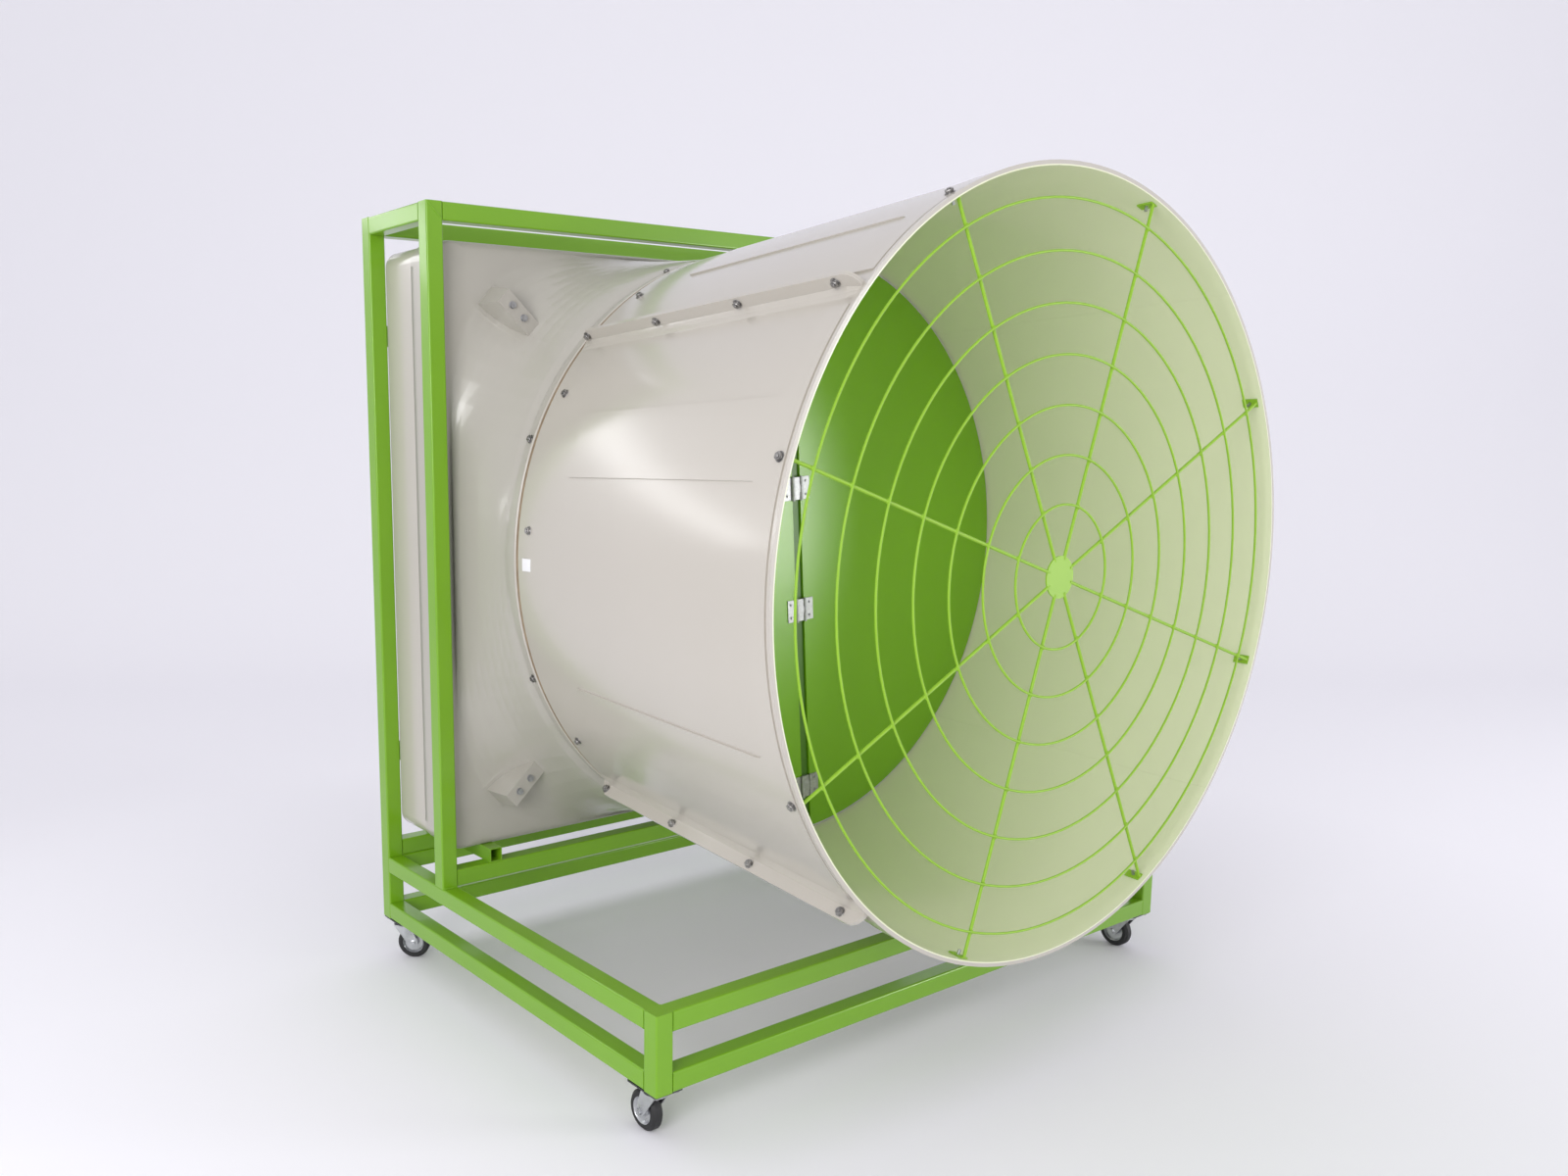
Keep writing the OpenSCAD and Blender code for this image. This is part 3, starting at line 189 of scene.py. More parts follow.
# %% [markdown]
# The housing and the cone are glass-fibre mouldings with a warm pale gel coat. It is glossy but
# hand finished, so it has cloudy colour, faint waves and a thin clear coat. The cone and the front
# have a coat of their own. The cone's coat has painted green bounce light inside, from the doors and
# the guard, and the front's coat is softened and made darker, as painted shade on the housing's face.

# %% Gel coat on the mouldings
gel_shades = (0.50, 0.47, 0.413), (0.49, 0.46, 0.403)
gel_skin = 0.6, 0.3, 0.04, 0.08, 0.0005
bell_round, pad_half = 0.03, 0.045
gel_coat = finish("gel_coat", *gel_shades, *gel_skin, Coat_Weight=0.8, Coat_Roughness=0.15)
# Painted highlight: the throat ring is paler than the gel coat, for the highlight along the throat's edge.
throat_ring_highlight = finish("throat_ring_highlight", (0.66, 0.65, 0.63), (0.64, 0.63, 0.61), 0.2, 0.3, 0.05, 0.02, 0.0003,
                   Coat_Weight=0.5, Coat_Roughness=0.1)
cone_coat = finish("cone_coat", *gel_shades, *gel_skin, Coat_Weight=0.8, Coat_Roughness=0.15)
# Painted shade: the housing's face gets a darker, greyer copy of the gel coat, for the shade on it.
shaded_front_coat = finish("shaded_front_coat", (0.44, 0.42, 0.37), (0.43, 0.41, 0.36), *gel_skin,
                    Coat_Weight=0.6, Coat_Roughness=0.12)
front_low, front_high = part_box("housing_front")
soften(shaded_front_coat, bell_round, (front_low.z + front_high.z) / 2,
       math.atan2(front_high.z - front_low.z, front_high.x - front_low.x), pad_half)
paint(shaded_front_coat, "housing_front")
paint(gel_coat, "housing_rear", "venturi_panel")
paint(cone_coat, "cone_segment_right", "cone_segment_top", "cone_segment_left", "cone_segment_bottom")
paint(throat_ring_highlight, "throat_ring")

# %% [markdown]
# Bolts, hinges and casters are zinc plated, which is a soft grey metal with a cloudy bloom.
# The inlet grid and the blades are galvanised, and the struts and plates are painted dark.

# %% Metals and rubber
bolt_zinc = finish("bolt_zinc", (0.52, 0.53, 0.54), (0.38, 0.38, 0.39), 0.01, 0.44, 0.1,
                   0.002, 0.0001, Metallic=0.95)
caster_zinc = finish("caster_zinc", (0.62, 0.63, 0.65), (0.48, 0.49, 0.5), 0.03, 0.3, 0.1,
                     0.004, 0.0001, Metallic=0.95)
blade_metal = finish("blade_metal", (0.62, 0.64, 0.66), (0.5, 0.52, 0.54), 0.06, 0.42, 0.1,
                     0.01, 0.0002, Metallic=0.9)
strut_black = finish("strut_black", (0.03, 0.031, 0.033), (0.022, 0.023, 0.024), 0.1, 0.45, 0.06,
                     0.004, 0.0002)
motor_grey = finish("motor_grey", (0.10, 0.13, 0.16), (0.08, 0.105, 0.13), 0.08, 0.48, 0.08,
                    0.006, 0.0004)
shaft_steel = finish("shaft_steel", (0.6, 0.61, 0.63), (0.5, 0.51, 0.52), 0.01, 0.28, 0.06,
                     0.001, 0.00005, Metallic=1.0)
tyre_black = finish("tyre_black", (0.016, 0.016, 0.017), (0.010, 0.010, 0.011), 0.02, 0.6, 0.1,
                    0.003, 0.0002)
corners = ("fl", "fr", "rl", "rr")
paint(bolt_zinc, "caster_plate_bolts", "housing_bolts", "strut_bolts", "motor_bolts", "seam_bolts",
      "collar_bolts", "hinge_brackets", "hinge_pins", "guard_bolts", "blade_bolts", "door_left_hinges",
      "door_right_hinges")
paint(caster_zinc, "inlet_guard", *["caster_fork_" + c for c in corners],
      *["caster_hub_" + c for c in corners])
paint(strut_black, "motor_struts", "motor_plates", "impeller_hub", "caster_plates")
paint(blade_metal, "impeller_blades")
paint(motor_grey, "motor", "motor_terminal_box")
paint(shaft_steel, "motor_shaft")
paint(tyre_black, *["caster_tyre_" + c for c in corners])

# %% [markdown]
# The pieces that follow sit on the cone and the collar, so they need the cone's own shape.
# It is measured from the CAD mesh, so that a change of the cone's size carries over.

# %% Measure the cone
cone_low, cone_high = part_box("cone_segment_left")
ring_low, ring_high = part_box("throat_ring")
axis_z = (ring_low.z + ring_high.z) / 2
mouth_y, joint_y = cone_low.y, cone_high.y
wall_t, seam_turn = 0.006, 2.5


def radii_at(node, depth):
    """The smallest and largest distance from the fan's axis of a CAD node's corners at one depth."""
    corners_there = [v.co for v in nodes[node].data.vertices if abs(v.co.y - depth) < 0.0005]
    reach = [math.hypot(corner.x, corner.z - axis_z) for corner in corners_there]
    return min(reach), max(reach)


joint_r = radii_at("cone_segment_left", joint_y)[1]
mouth_r = radii_at("cone_segment_left", mouth_y)[0] + wall_t


def wall_r(depth):
    """The radius of the cone's outer wall at a depth."""
    return joint_r + (mouth_r - joint_r) * (joint_y - depth) / (joint_y - mouth_y)


def on_wall(angle, depth, proud=0.0):
    """A point on the cone's wall. The angle runs anticlockwise from the right, seen from the mouth."""
    a = math.radians(angle)
    r = wall_r(depth) + proud
    return Vector((r * math.cos(a), depth, axis_z + r * math.sin(a)))


print("cone from y", round(joint_y, 3), "to", round(mouth_y, 3))
print("radius from", round(joint_r, 3), "to", round(mouth_r, 3))

# %% [markdown]
# Inside the cone the coat is painted with the green light that the doors and the guard throw back on
# the wall: a painted reflection of their colour. Whether a point is inside is told by its distance
# from the fan's axis, against the middle of the wall at that depth.

# %% Painted green bounce light on the inside wall
def paint_bounce_inside(material, bounce_colour):
    """The material gets another colour on the inner side of the cone's wall: painted green bounce light."""
    tree = material.node_tree
    base = tree.nodes["Principled BSDF"].inputs["Base Color"]
    outer_colour = base.links[0].from_socket
    place = tree.nodes.new("ShaderNodeTexCoord")
    parts = tree.nodes.new("ShaderNodeSeparateXYZ")
    across = tree.nodes.new("ShaderNodeCombineXYZ")
    reach = tree.nodes.new("ShaderNodeVectorMath")
    reach.operation = "DISTANCE"
    reach.inputs[1].default_value = (0, 0, axis_z)
    middle = tree.nodes.new("ShaderNodeMapRange")
    middle.clamp = False
    middle.inputs["From Min"].default_value, middle.inputs["From Max"].default_value = mouth_y, joint_y
    middle.inputs["To Min"].default_value = mouth_r - wall_t / 2
    middle.inputs["To Max"].default_value = joint_r - wall_t / 2
    inside = tree.nodes.new("ShaderNodeMath")
    inside.operation = "LESS_THAN"
    mix = tree.nodes.new("ShaderNodeMix")
    mix.data_type = "RGBA"
    mix.inputs["B"].default_value = (*bounce_colour, 1)
    tree.links.new(place.outputs["Object"], parts.inputs["Vector"])
    tree.links.new(parts.outputs["X"], across.inputs["X"])
    tree.links.new(parts.outputs["Z"], across.inputs["Z"])
    tree.links.new(across.outputs["Vector"], reach.inputs[0])
    tree.links.new(parts.outputs["Y"], middle.inputs["Value"])
    tree.links.new(reach.outputs["Value"], inside.inputs[0])
    tree.links.new(middle.outputs["Result"], inside.inputs[1])
    tree.links.new(inside.outputs["Value"], mix.inputs["Factor"])
    tree.links.new(outer_colour, mix.inputs["A"])
    tree.links.new(mix.outputs["Result"], base)


# Painted bounce light: the green that the doors and the guard throw back onto the inside wall.
painted_green_bounce = 0.77, 0.79, 0.575
paint_bounce_inside(cone_coat, painted_green_bounce)
print("inside of the cone tinted", painted_green_bounce)

# %% [markdown]
# Every modelled piece ends the same way: its place goes into its mesh, it takes one finish,
# and it rides on the trolley, so that it follows the CAD model in every pose.

# %% Helpers to start and finish a piece
def start_piece():
    """Nothing selected, so that the next operators act on the new piece alone."""
    bpy.ops.object.select_all(action="DESELECT")


def pick(*pieces):
    """These objects alone are selected, and the last one is active."""
    start_piece()
    for piece in pieces:
        piece.select_set(True)
        bpy.context.view_layer.objects.active = piece


def modify(piece, kind, **settings):
    """A modifier with these settings, applied at once."""
    modifier = piece.modifiers.new(kind.lower(), kind)
    for setting, value in settings.items():
        setattr(modifier, setting, value)
    pick(piece)
    bpy.ops.object.modifier_apply(modifier=modifier.name)


def settle(piece, name, material, smooth_angle=35):
    """Puts the place of a piece into its mesh, names and paints it, and lets it ride on the trolley."""
    piece.name = name
    pick(piece)
    bpy.ops.object.transform_apply(location=True, rotation=True, scale=True)
    bpy.ops.object.mode_set(mode="EDIT")
    bpy.ops.mesh.select_all(action="SELECT")
    bpy.ops.mesh.remove_doubles(threshold=0.00001)
    bpy.ops.mesh.normals_make_consistent(inside=False)
    bpy.ops.object.mode_set(mode="OBJECT")
    bpy.ops.object.shade_smooth_by_angle(angle=math.radians(smooth_angle))
    piece.data.materials.clear()
    piece.data.materials.append(material)
    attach(piece, "trolley")
    print(name, len(piece.data.polygons), "faces")


def joined(pieces):
    """Several objects made one."""
    pick(*pieces)
    bpy.ops.object.join()
    return bpy.context.object


# %% [markdown]
# Each moulded quarter of the cone has three sunk fields with rounded corners. Both the raised part
# between them and the cutters that open them are thin plates that follow the wall. Such a plate is
# an open cone whose faces outside a sector are deleted, and a Solidify gives it its thickness.

# %% A plate that follows the cone's wall
corner_radius, corner_near = 0.028, 0.004


def wall_plate(deep, shallow, middle, half_angle, column_deg, lift, thickness, round_corners=()):
    """A curved plate between two depths, either side of an angle, with chosen corners rounded."""
    start_piece()
    columns = round(360 / column_deg)
    bpy.ops.mesh.primitive_cone_add(
        vertices=columns, radius1=wall_r(deep) + lift, radius2=wall_r(shallow) + lift, depth=deep - shallow,
        end_fill_type="NOTHING", rotation=(math.radians(90), 0, 0))
    plate = bpy.context.object
    plate.matrix_world = (
        Matrix.Translation((0, (deep + shallow) / 2, axis_z))
        @ Matrix.Rotation(-math.radians(middle - half_angle), 4, "Y")
        @ Matrix.Rotation(math.radians(90), 4, "X"))
    bpy.ops.object.transform_apply(location=True, rotation=True, scale=True)
    mesh = plate.data
    bpy.ops.object.mode_set(mode="EDIT")
    bpy.ops.mesh.select_mode(type="FACE")
    bpy.ops.mesh.select_all(action="DESELECT")
    bpy.ops.object.mode_set(mode="OBJECT")
    for polygon in mesh.polygons:
        centre = polygon.center
        angle = math.degrees(math.atan2(centre.z - axis_z, centre.x))
        polygon.select = abs((angle - middle + 180) % 360 - 180) > half_angle
    bpy.ops.object.mode_set(mode="EDIT")
    bpy.ops.mesh.delete(type="FACE")
    bpy.ops.mesh.select_mode(type="VERT")
    bpy.ops.mesh.select_all(action="DESELECT")
    bpy.ops.object.mode_set(mode="OBJECT")
    corners_at = [on_wall(angle, depth, lift) for angle, depth in round_corners]
    for vertex in mesh.vertices:
        vertex.select = any((vertex.co - place).length < corner_near for place in corners_at)
    if corners_at:
        bpy.ops.object.mode_set(mode="EDIT")
        bpy.ops.mesh.bevel(offset=corner_radius, segments=6, affect="VERTICES")
        bpy.ops.object.mode_set(mode="OBJECT")
    first = mesh.polygons[0]
    outwards = 1.0 if first.normal.dot(first.center - Vector((0, first.center.y, axis_z))) > 0 else -1.0
    modify(plate, "SOLIDIFY", thickness=thickness, offset=outwards)
    bpy.ops.object.mode_set(mode="EDIT")
    bpy.ops.mesh.select_all(action="SELECT")
    bpy.ops.mesh.normals_make_consistent(inside=False)
    bpy.ops.object.mode_set(mode="OBJECT")
    return plate


# %% [markdown]
# Between the fields two bands stand a little proud and run out of the mouth's border like fingers.
# One plate makes the border and the bands, and three cutters with rounded corners open the fields
# in it, as a boolean does with straight walls in one step.

# %% Raised border and bands on one quarter
band_start, field_end, border_end = 0.0, -0.79, -0.850
plate_sunk, plate_proud = -0.0006, 0.0048
cut_start, cut_sunk, cut_through = 0.06, -0.02, 0.04
side_middle, side_half = 38, 9
band_in, band_out, quarter_half = 18, side_middle - side_half, 42
left_middle = 180 + seam_turn
raised = wall_plate(band_start, border_end, left_middle, quarter_half, 1.0, plate_sunk, plate_proud)
openings = ((0, band_in, 3.0, (-band_in, band_in)), (-side_middle, side_half, 1.5, (side_half,)),
            (side_middle, side_half, 1.5, (-side_half,)))
cutters = []
for turn, half, column, rounded in openings:
    around = left_middle + turn
    cutters.append(wall_plate(cut_start, field_end, around, half, column, cut_sunk, cut_through,
                              [(around + corner, field_end) for corner in rounded]))
for cutter in cutters:
    modify(raised, "BOOLEAN", object=cutter, operation="DIFFERENCE", solver="EXACT")
    bpy.data.objects.remove(cutter)
print("raised plate", len(raised.data.polygons), "faces")

# %% [markdown]
# The free ends of the bands are rounded too. Their corner edges run straight out of the wall,
# so they are found by their places and bevelled. A last small bevel softens every edge, as
# gel coat does, and the quarter is then copied round the axis three times.

# %% Round the bands' ends and copy the quarter
band_round, edge_round = 0.013, 0.0012
ends = [on_wall(left_middle + side * turn, band_start) for side in (-1, 1) for turn in (band_in, band_out)]
pick(raised)
bpy.ops.object.mode_set(mode="EDIT")
bpy.ops.mesh.select_mode(type="EDGE")
bpy.ops.mesh.select_all(action="SELECT")
bpy.ops.mesh.remove_doubles(threshold=0.001)
bpy.ops.mesh.select_all(action="DESELECT")
bpy.ops.object.mode_set(mode="OBJECT")
for edge in raised.data.edges:
    a, b = (raised.data.vertices[v].co for v in edge.vertices)
    radial = abs(a.y - b.y) < 0.001 and (a - b).length < 0.005
    edge.select = radial and any(((a + b) / 2 - end).length < 0.006 for end in ends)
bpy.ops.object.mode_set(mode="EDIT")
bpy.ops.mesh.bevel(offset=band_round, segments=4, clamp_overlap=True)
bpy.ops.object.mode_set(mode="OBJECT")
modify(raised, "BEVEL", width=edge_round, segments=2, limit_method="ANGLE", angle_limit=math.radians(50))
quarters = [raised]
for turn in (90, 180, 270):
    pick(raised)
    bpy.ops.object.duplicate()
    copy = bpy.context.object
    about_axis = Matrix.Translation((0, 0, axis_z))
    copy.matrix_world = about_axis @ Matrix.Rotation(math.radians(turn), 4, "Y") @ about_axis.inverted()
    quarters.append(copy)
for side, quarter in zip(("left", "top", "right", "bottom"), quarters):
    settle(quarter, "cone_fields_" + side, gel_coat)

# %% [markdown]
# The cone's end is bedded on the collar in brown sealant, and the brown ring is made wide enough to
# paint the shade in the gap at the joint as well. Beside it the collar has a small raised bead all
# round. Both start as a ring, which is squashed to its section.

# %% Sealant with painted gap shade, and bead at the joint
sealant_and_gap_shade = finish("sealant_and_gap_shade", (0.30, 0.225, 0.145), (0.22, 0.16, 0.10), 0.03, 0.55, 0.08,
                       0.006, 0.0006)


def ring_at(depth, reach, half_width, half_height):
    """A ring round the fan's axis, with an oval section."""
    start_piece()
    bpy.ops.mesh.primitive_torus_add(
        major_radius=reach, minor_radius=half_width, major_segments=180, minor_segments=10,
        location=(0, depth, axis_z), rotation=(math.radians(90), 0, 0))
    ring = bpy.context.object
    bpy.ops.object.mode_set(mode="EDIT")
    bpy.ops.mesh.select_all(action="SELECT")
    bpy.ops.transform.shrink_fatten(value=half_height - half_width)
    bpy.ops.transform.resize(value=(1, half_width / half_height, 1))
    bpy.ops.object.mode_set(mode="OBJECT")
    return ring


bond_gap = 0.0006
collar_r = joint_r - wall_t - bond_gap
# Painted shade: the brown ring is wider than the sealant alone, for the dark gap at the joint.
sealant_and_shade = ring_at(joint_y + 0.009, collar_r + 0.0005, half_width=0.009, half_height=0.0045)
settle(sealant_and_shade, "joint_sealant_and_shade", sealant_and_gap_shade, smooth_angle=60)
collar_bead = ring_at(joint_y + 0.024, collar_r, half_width=0.006, half_height=0.005)
settle(collar_bead, "collar_bead", gel_coat, smooth_angle=60)

# %% [markdown]
# Each crossing of a ring and a spoke of the guard is welded. One small blob is modelled from a
# sphere, squashed, and then copied to every crossing.

# %% Weld spots on the guard
wire_half, spot_radius, spot_squash = 0.003, 0.0062, 0.75
rings, ring_first, ring_last, spokes, outlet_turn = 7, 0.175, 0.876, 8, 4
ring_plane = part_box("outlet_guard")[0].y + wire_half
start_piece()
bpy.ops.mesh.primitive_uv_sphere_add(segments=10, ring_count=6, radius=spot_radius)
spot = bpy.context.object
bpy.ops.transform.resize(value=(1, spot_squash, 1))
spots = []
for ring in range(rings):
    reach = ring_first + (ring_last - ring_first) * ring / (rings - 1)
    for spoke in range(spokes):
        angle = math.radians(360 * (spoke + 0.5) / spokes + outlet_turn)
        pick(spot)
        bpy.ops.object.duplicate()
        copy = bpy.context.object
        copy.location = (reach * math.cos(angle), ring_plane + wire_half, axis_z + reach * math.sin(angle))
        spots.append(copy)
bpy.data.objects.remove(spot)
settle(joined(spots), "guard_welds", guard_green, 60)

# %% [markdown]
# The cone's screws have broad washers and stout hex nuts, which in the photograph are darker and
# larger than the CAD model's. One fixing is modelled as a washer, a spring washer, a chamfered nut
# and the end of the screw, and its copies cover the CAD heads and nuts.

# %% One fixing
fixing_steel = finish("fixing_steel", (0.40, 0.39, 0.375), (0.20, 0.195, 0.19), 0.012, 0.34, 0.12,
                      0.002, 0.0001, Metallic=0.9)


def turned_disc(sides, radius, low, high, chamfer):
    """A short cylinder along Z between two heights, with its edges chamfered."""
    start_piece()
    bpy.ops.mesh.primitive_cylinder_add(vertices=sides, radius=radius, depth=high - low,
                                        location=(0, 0, (low + high) / 2))
    disc = bpy.context.object
    bpy.ops.object.transform_apply(location=True, rotation=False, scale=False)
    modify(disc, "BEVEL", width=chamfer, segments=1, limit_method="ANGLE", angle_limit=math.radians(40))
    return disc


def copies_at(model, places):
    """Copies of a model whose +Z is turned along each place's direction, made one object."""
    copies = []
    for point, direction in places:
        pick(model)
        bpy.ops.object.duplicate()
        copy = bpy.context.object
        turn = direction.to_track_quat("Z", "Y").to_matrix().to_4x4()
        copy.matrix_world = Matrix.Translation(point) @ turn
        copies.append(copy)
    return joined(copies)


washer = turned_disc(24, 0.0120, -0.0002, 0.0018, 0.0004)
spring_washer = turned_disc(24, 0.0086, 0.0016, 0.0034, 0.0005)
nut = turned_disc(6, 0.0098, 0.0032, 0.0092, 0.0009)
screw_end = turned_disc(16, 0.0046, 0.0090, 0.0116, 0.0008)
fixing = joined([washer, spring_washer, nut, screw_end])
print("one fixing", len(fixing.data.polygons), "faces")

# %% [markdown]
# Two fixings face away from each other at every place along a seam, one on each flange. The places
# are spread evenly between the joint and the mouth, and stand out from the wall by half a flange.

# %% Fixings along the seams
seam_from_joint, seam_from_mouth = 0.044, 0.072
flange_middle, flange_face = 0.0273, 0.005
first_depth, last_depth = joint_y - seam_from_joint, mouth_y + seam_from_mouth
seam_places = []
for seam in range(4):
    a = math.radians(45 + 90 * seam + seam_turn)
    outwards, sideways = Vector((math.cos(a), 0, math.sin(a))), Vector((-math.sin(a), 0, math.cos(a)))
    for step in range(4):
        depth = first_depth + (last_depth - first_depth) * step / 3
        centre = Vector((0, depth, axis_z)) + outwards * (wall_r(depth) + flange_middle)
        seam_places += [(centre + sideways * side * flange_face, sideways * side) for side in (-1, 1)]
settle(copies_at(fixing, seam_places), "seam_fixings", fixing_steel)

# %% [markdown]
# The joint has one row of fixings through the cone and one through the collar, and the mouth has
# one at each spoke of the guard. All of them point straight out from the fan's axis.

# %% Fixings round the joint and the mouth
def wall_places(angles, depth, reach):
    """Places on a round wall at one depth, each with the direction straight out."""
    places = []
    for angle in angles:
        a = math.radians(angle)
        point = Vector((reach * math.cos(a), depth, axis_z + reach * math.sin(a)))
        places.append((point, Vector((math.cos(a), 0, math.sin(a)))))
    return places


cone_row, collar_row, mouth_row = joint_y - 0.05625, joint_y + 0.042, mouth_y + 0.033
border_proud = 0.0042
eighths = [22.5 + 45 * i for i in range(8)]
cone_angles = [quarter - back + 4 for quarter in (0, 90, 180, 270) for back in (35, 10, -31)]
joint_places = wall_places(cone_angles, cone_row, wall_r(cone_row))
joint_places += wall_places(eighths, collar_row, collar_r)
settle(copies_at(fixing, joint_places), "joint_fixings", fixing_steel)
mouth_places = wall_places([angle + outlet_turn for angle in eighths], mouth_row,
                           wall_r(mouth_row) + border_proud)
settle(copies_at(fixing, mouth_places), "mouth_fixings", fixing_steel)
bpy.data.objects.remove(fixing)

# %% [markdown]
# A weld bead is a rod with rounded ends, wrinkled by a short wave along it. Subdividing a cylinder
# gives it enough rings for the wave to show.

# %% A rippled bead
ripple_pitch, ripple_height = 0.006, 0.12


def bead(start, end, radius):
    """A low weld bead between two points, with ripples along it."""
    start, end = Vector(start), Vector(end)
    start_piece()
    bpy.ops.mesh.primitive_cylinder_add(vertices=12, radius=radius, depth=(end - start).length)
    rod = bpy.context.object
    bpy.ops.object.mode_set(mode="EDIT")
    bpy.ops.mesh.select_all(action="SELECT")
    bpy.ops.mesh.subdivide(number_cuts=16)
    bpy.ops.object.mode_set(mode="OBJECT")
    half = (end - start).length / 2
    for vertex in rod.data.vertices:
        share = abs(vertex.co.z) / half
        ripple = 1 + ripple_height * math.sin(vertex.co.z * 2 * math.pi / ripple_pitch)
        swell = ripple * math.sqrt(max(0.1, 1 - share ** 8))
        vertex.co.x *= swell
        vertex.co.y *= swell
    rod.matrix_world = (Matrix.Translation((start + end) / 2)
                        @ (end - start).to_track_quat("Z", "Y").to_matrix().to_4x4())
    return rod


# %% [markdown]
# Beads are left proud where the portal's top corners are mitred and where its uprights stand on
# the base. Their ends are measured from the uprights' box.

# %% Weld beads on the trolley
mitre_bead, foot_bead, corner_gap, mitre_gap, overrun = 0.0022, 0.003, 0.004, 0.003, 0.001
upright_low, upright_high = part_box("front_uprights")
tube = upright_high.y - upright_low.y
front, foot = upright_low.y, upright_low.z + overrun
beads = []
for side in (-1, 1):
    outer, inner = side * (upright_high.x - mitre_gap), side * (upright_high.x - tube + overrun)
    beads.append(bead((outer, front, upright_high.z - mitre_gap),
                      (inner, front, upright_high.z - tube + overrun), mitre_bead))
    beads.append(bead((side * (upright_high.x - corner_gap), front, foot), (inner, front, foot), foot_bead))
    face = side * (upright_high.x - tube)
    beads.append(bead((face, front + corner_gap, foot), (face, front + tube - corner_gap, foot), foot_bead))
settle(joined(beads), "frame_welds", tube_green, 60)

# %% [markdown]
# A small blank plate is stuck on the left quarter near the joint. It is a thin rounded box that
# leans with the wall.

# %% Blank plate on the cone
plate_white = finish("plate_white", (0.82, 0.82, 0.82), (0.80, 0.80, 0.80), 0.02, 0.5, 0.03, 0.002, 0.00005)
start_piece()
plate_deep, plate_shallow, plate_half, plate_t, plate_lift = 0.186, 0.130, 0.017, 0.0016, 0.0004
slope = math.atan((mouth_r - joint_r) / (joint_y - mouth_y))
bpy.ops.mesh.primitive_cube_add(size=1)
plate = bpy.context.object
plate.dimensions = (plate_t, plate_deep - plate_shallow, 2 * plate_half)
plate.rotation_euler = (0, 0, slope)
plate.location = on_wall(180, (plate_deep + plate_shallow) / 2, plate_lift)
bpy.ops.object.transform_apply(location=False, rotation=False, scale=True)
modify(plate, "BEVEL", width=0.0005, segments=2)
settle(plate, "blank_plate", plate_white)

# %% [markdown]
# The studio is a pale floor that sweeps up into a wall far behind the fan. A plane is added,
# its far edge is pulled up, and the fold is rounded with a bevel so that no line shows.

# %% Floor and backdrop
floor_half, wall_height, fold_radius, widening = 7.0, 14.0, 2.5, 6.0
bpy.ops.object.select_all(action="DESELECT")
bpy.ops.mesh.primitive_plane_add(size=2 * floor_half, location=(0, 0, 0))
sweep = bpy.context.object
sweep.name = "studio_sweep"
bpy.ops.object.mode_set(mode="EDIT")
bpy.ops.mesh.select_all(action="DESELECT")
bpy.ops.object.mode_set(mode="OBJECT")
for edge in sweep.data.edges:
    edge.select = all(sweep.data.vertices[v].co.y > 0 for v in edge.vertices)
bpy.ops.object.mode_set(mode="EDIT")
bpy.ops.mesh.select_mode(type="EDGE")
bpy.ops.mesh.extrude_region_move(TRANSFORM_OT_translate={"value": (0, 0, wall_height)})
bpy.ops.mesh.select_all(action="DESELECT")
bpy.ops.object.mode_set(mode="OBJECT")
for edge in sweep.data.edges:
    ends = [sweep.data.vertices[v].co for v in edge.vertices]
    edge.select = all(end.y > 0 and abs(end.z) < 0.001 for end in ends)
bpy.ops.object.mode_set(mode="EDIT")
bpy.ops.mesh.bevel(offset=fold_radius, segments=16)
bpy.ops.object.mode_set(mode="OBJECT")
bpy.ops.object.shade_smooth()
sweep.matrix_world = Matrix.Rotation(-turn_right, 4, "Z") @ Matrix.Scale(widening, 4, (1, 0, 0))
bpy.ops.object.transform_apply(location=False, rotation=True, scale=True)
print("floor and wall", floor_half * 2 * widening, "m wide")

# %% [markdown]
# The floor is a little paler than the wall. Away from the fan both are lifted a touch for the camera
# and for reflections alone, so that they look as pale as in the photograph without throwing more
# light on the fan, and the shadow under the trolley stays.

# %% The backdrop's colour
def seen_rays(tree):
    """One for a ray from the camera or a glossy or clear surface, zero for light that a surface gathers."""
    rays = tree.nodes.new("ShaderNodeLightPath")
    seen = rays.outputs["Is Camera Ray"]
    for kind in ("Is Glossy Ray", "Is Transmission Ray"):
        either = tree.nodes.new("ShaderNodeMath")
        either.operation = "MAXIMUM"
        tree.links.new(seen, either.inputs[0])
        tree.links.new(rays.outputs[kind], either.inputs[1])
        seen = either.outputs["Value"]
    return seen


lift_from, lift_full, lift_most, climb_height = 1.2, 3.0, 0.07, 2.0
studio_grey = bpy.data.materials.new("studio_grey")
studio_grey.use_nodes = True
tree = studio_grey.node_tree
tree.nodes["Principled BSDF"].inputs["Roughness"].default_value = 0.9
place = tree.nodes.new("ShaderNodeTexCoord")
parts = tree.nodes.new("ShaderNodeSeparateXYZ")
climb = tree.nodes.new("ShaderNodeMapRange")
climb.inputs["From Max"].default_value = climb_height
shades = tree.nodes.new("ShaderNodeMix")
shades.data_type = "RGBA"
shades.inputs["A"].default_value = (0.90, 0.893, 0.93, 1)
shades.inputs["B"].default_value = (0.87, 0.864, 0.902, 1)
tree.links.new(place.outputs["Object"], parts.inputs["Vector"])
tree.links.new(parts.outputs["Z"], climb.inputs["Value"])
tree.links.new(climb.outputs["Result"], shades.inputs["Factor"])
tree.links.new(shades.outputs["Result"], tree.nodes["Principled BSDF"].inputs["Base Color"])
far = tree.nodes.new("ShaderNodeVectorMath")
far.operation = "LENGTH"
lift = tree.nodes.new("ShaderNodeMapRange")
lift.inputs["From Min"].default_value, lift.inputs["From Max"].default_value = lift_from, lift_full
lift.inputs["To Max"].default_value = lift_most
shown = tree.nodes.new("ShaderNodeMath")
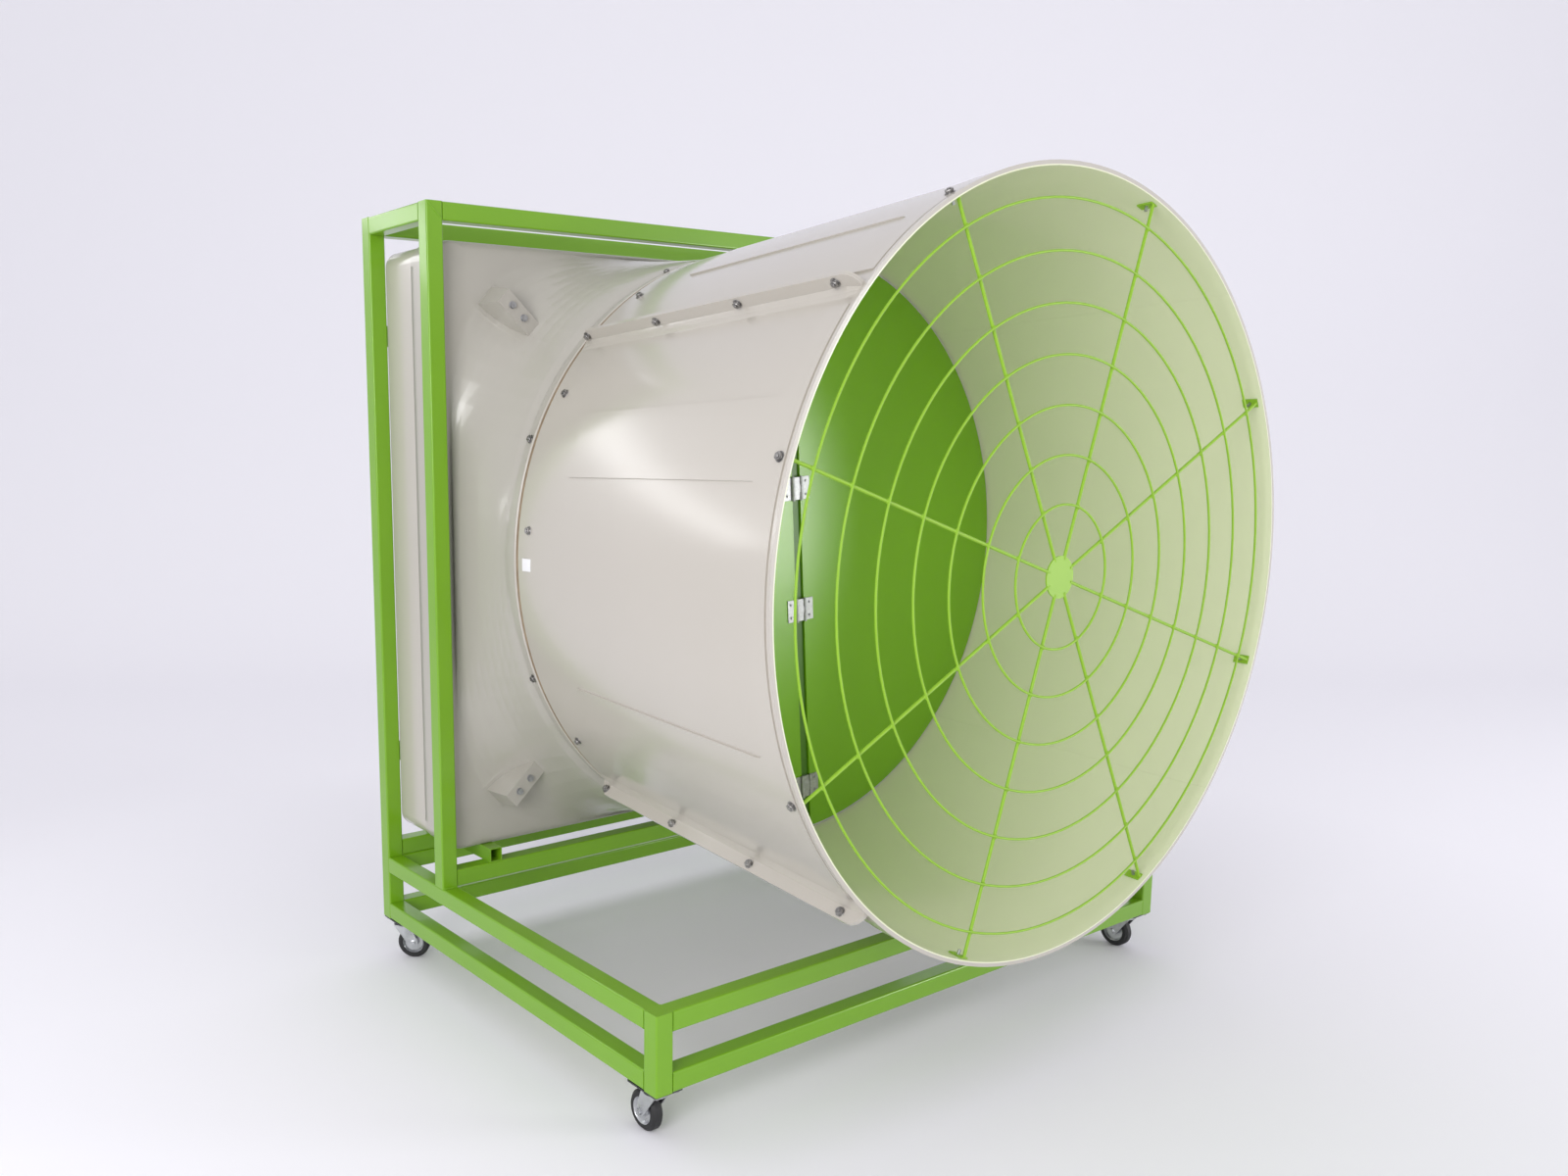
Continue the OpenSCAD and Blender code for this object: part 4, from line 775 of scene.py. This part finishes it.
shown.operation = "MULTIPLY"
tree.links.new(place.outputs["Object"], far.inputs[0])
tree.links.new(far.outputs["Value"], lift.inputs["Value"])
tree.links.new(lift.outputs["Result"], shown.inputs[0])
tree.links.new(seen_rays(tree), shown.inputs[1])
tree.links.new(shown.outputs["Value"], tree.nodes["Principled BSDF"].inputs["Emission Strength"])
tree.nodes["Principled BSDF"].inputs["Emission Color"].default_value = (0.95, 0.94, 1, 1)
sweep.data.materials.append(studio_grey)
print("lift from", lift_from, "to", lift_full, "m")

# %% [markdown]
# Soft studio light: a large lamp high on the left in front, one overhead for the shadow under the
# trolley, a tall one far off on the right that shines into the mouth and gives the doors their
# highlight, and a long one behind on the left for the streak along the cone.

# %% Lamps
def soft_lamp(name, place, aim, width, height, power, lean=0):
    """An area lamp at a place, turned to a point and leaning by some degrees."""
    bpy.ops.object.light_add(type="AREA", location=place)
    lamp = bpy.context.object
    lamp.name = name
    lamp.data.shape = "RECTANGLE"
    lamp.data.size, lamp.data.size_y = width, height
    lamp.data.energy = power
    facing = (Vector(aim) - Vector(place)).to_track_quat("-Z", "Y").to_matrix()
    lamp.rotation_euler = (facing @ Matrix.Rotation(math.radians(lean), 3, "Z")).to_euler()
    print(name, power, "W")


fan_middle = (0, 0, 1.2)
soft_lamp("key_lamp", (-5.2, -2.8, 2.5), (-0.4, -0.3, 1.3), 2.5, 2.5, 150)
soft_lamp("mouth_lamp", (5.2, -5.55, 1.4), (0, 0, 1.4), 1.3, 2.5, 150)
soft_lamp("top_lamp", (0.3, 0.3, 5.5), fan_middle, 4.0, 4.0, 10)
soft_lamp("streak_lamp", (-1.95, 2.3, 2.42), (-0.84, -0.3, 1.58), 0.22, 2.4, 7, 49)

# %% [markdown]
# A pale world fills the shadows. It is as bright as the wall where the camera or a glossy surface
# sees it, so that metal and gloss mirror the studio, and a little dimmer as a light.

# %% World
world_glow, world_seen = 0.92, 1.0
world = bpy.data.worlds.new("studio_world")
bpy.context.scene.world = world
world.use_nodes = True
tree = world.node_tree
background = tree.nodes["Background"]
background.inputs["Color"].default_value = (0.80, 0.79, 0.83, 1)
strength = tree.nodes.new("ShaderNodeMapRange")
strength.inputs["To Min"].default_value, strength.inputs["To Max"].default_value = world_glow, world_seen
tree.links.new(seen_rays(tree), strength.inputs["Value"])
tree.links.new(strength.outputs["Result"], background.inputs["Strength"])
print("world strength", world_glow, "as light and", world_seen, "as seen")
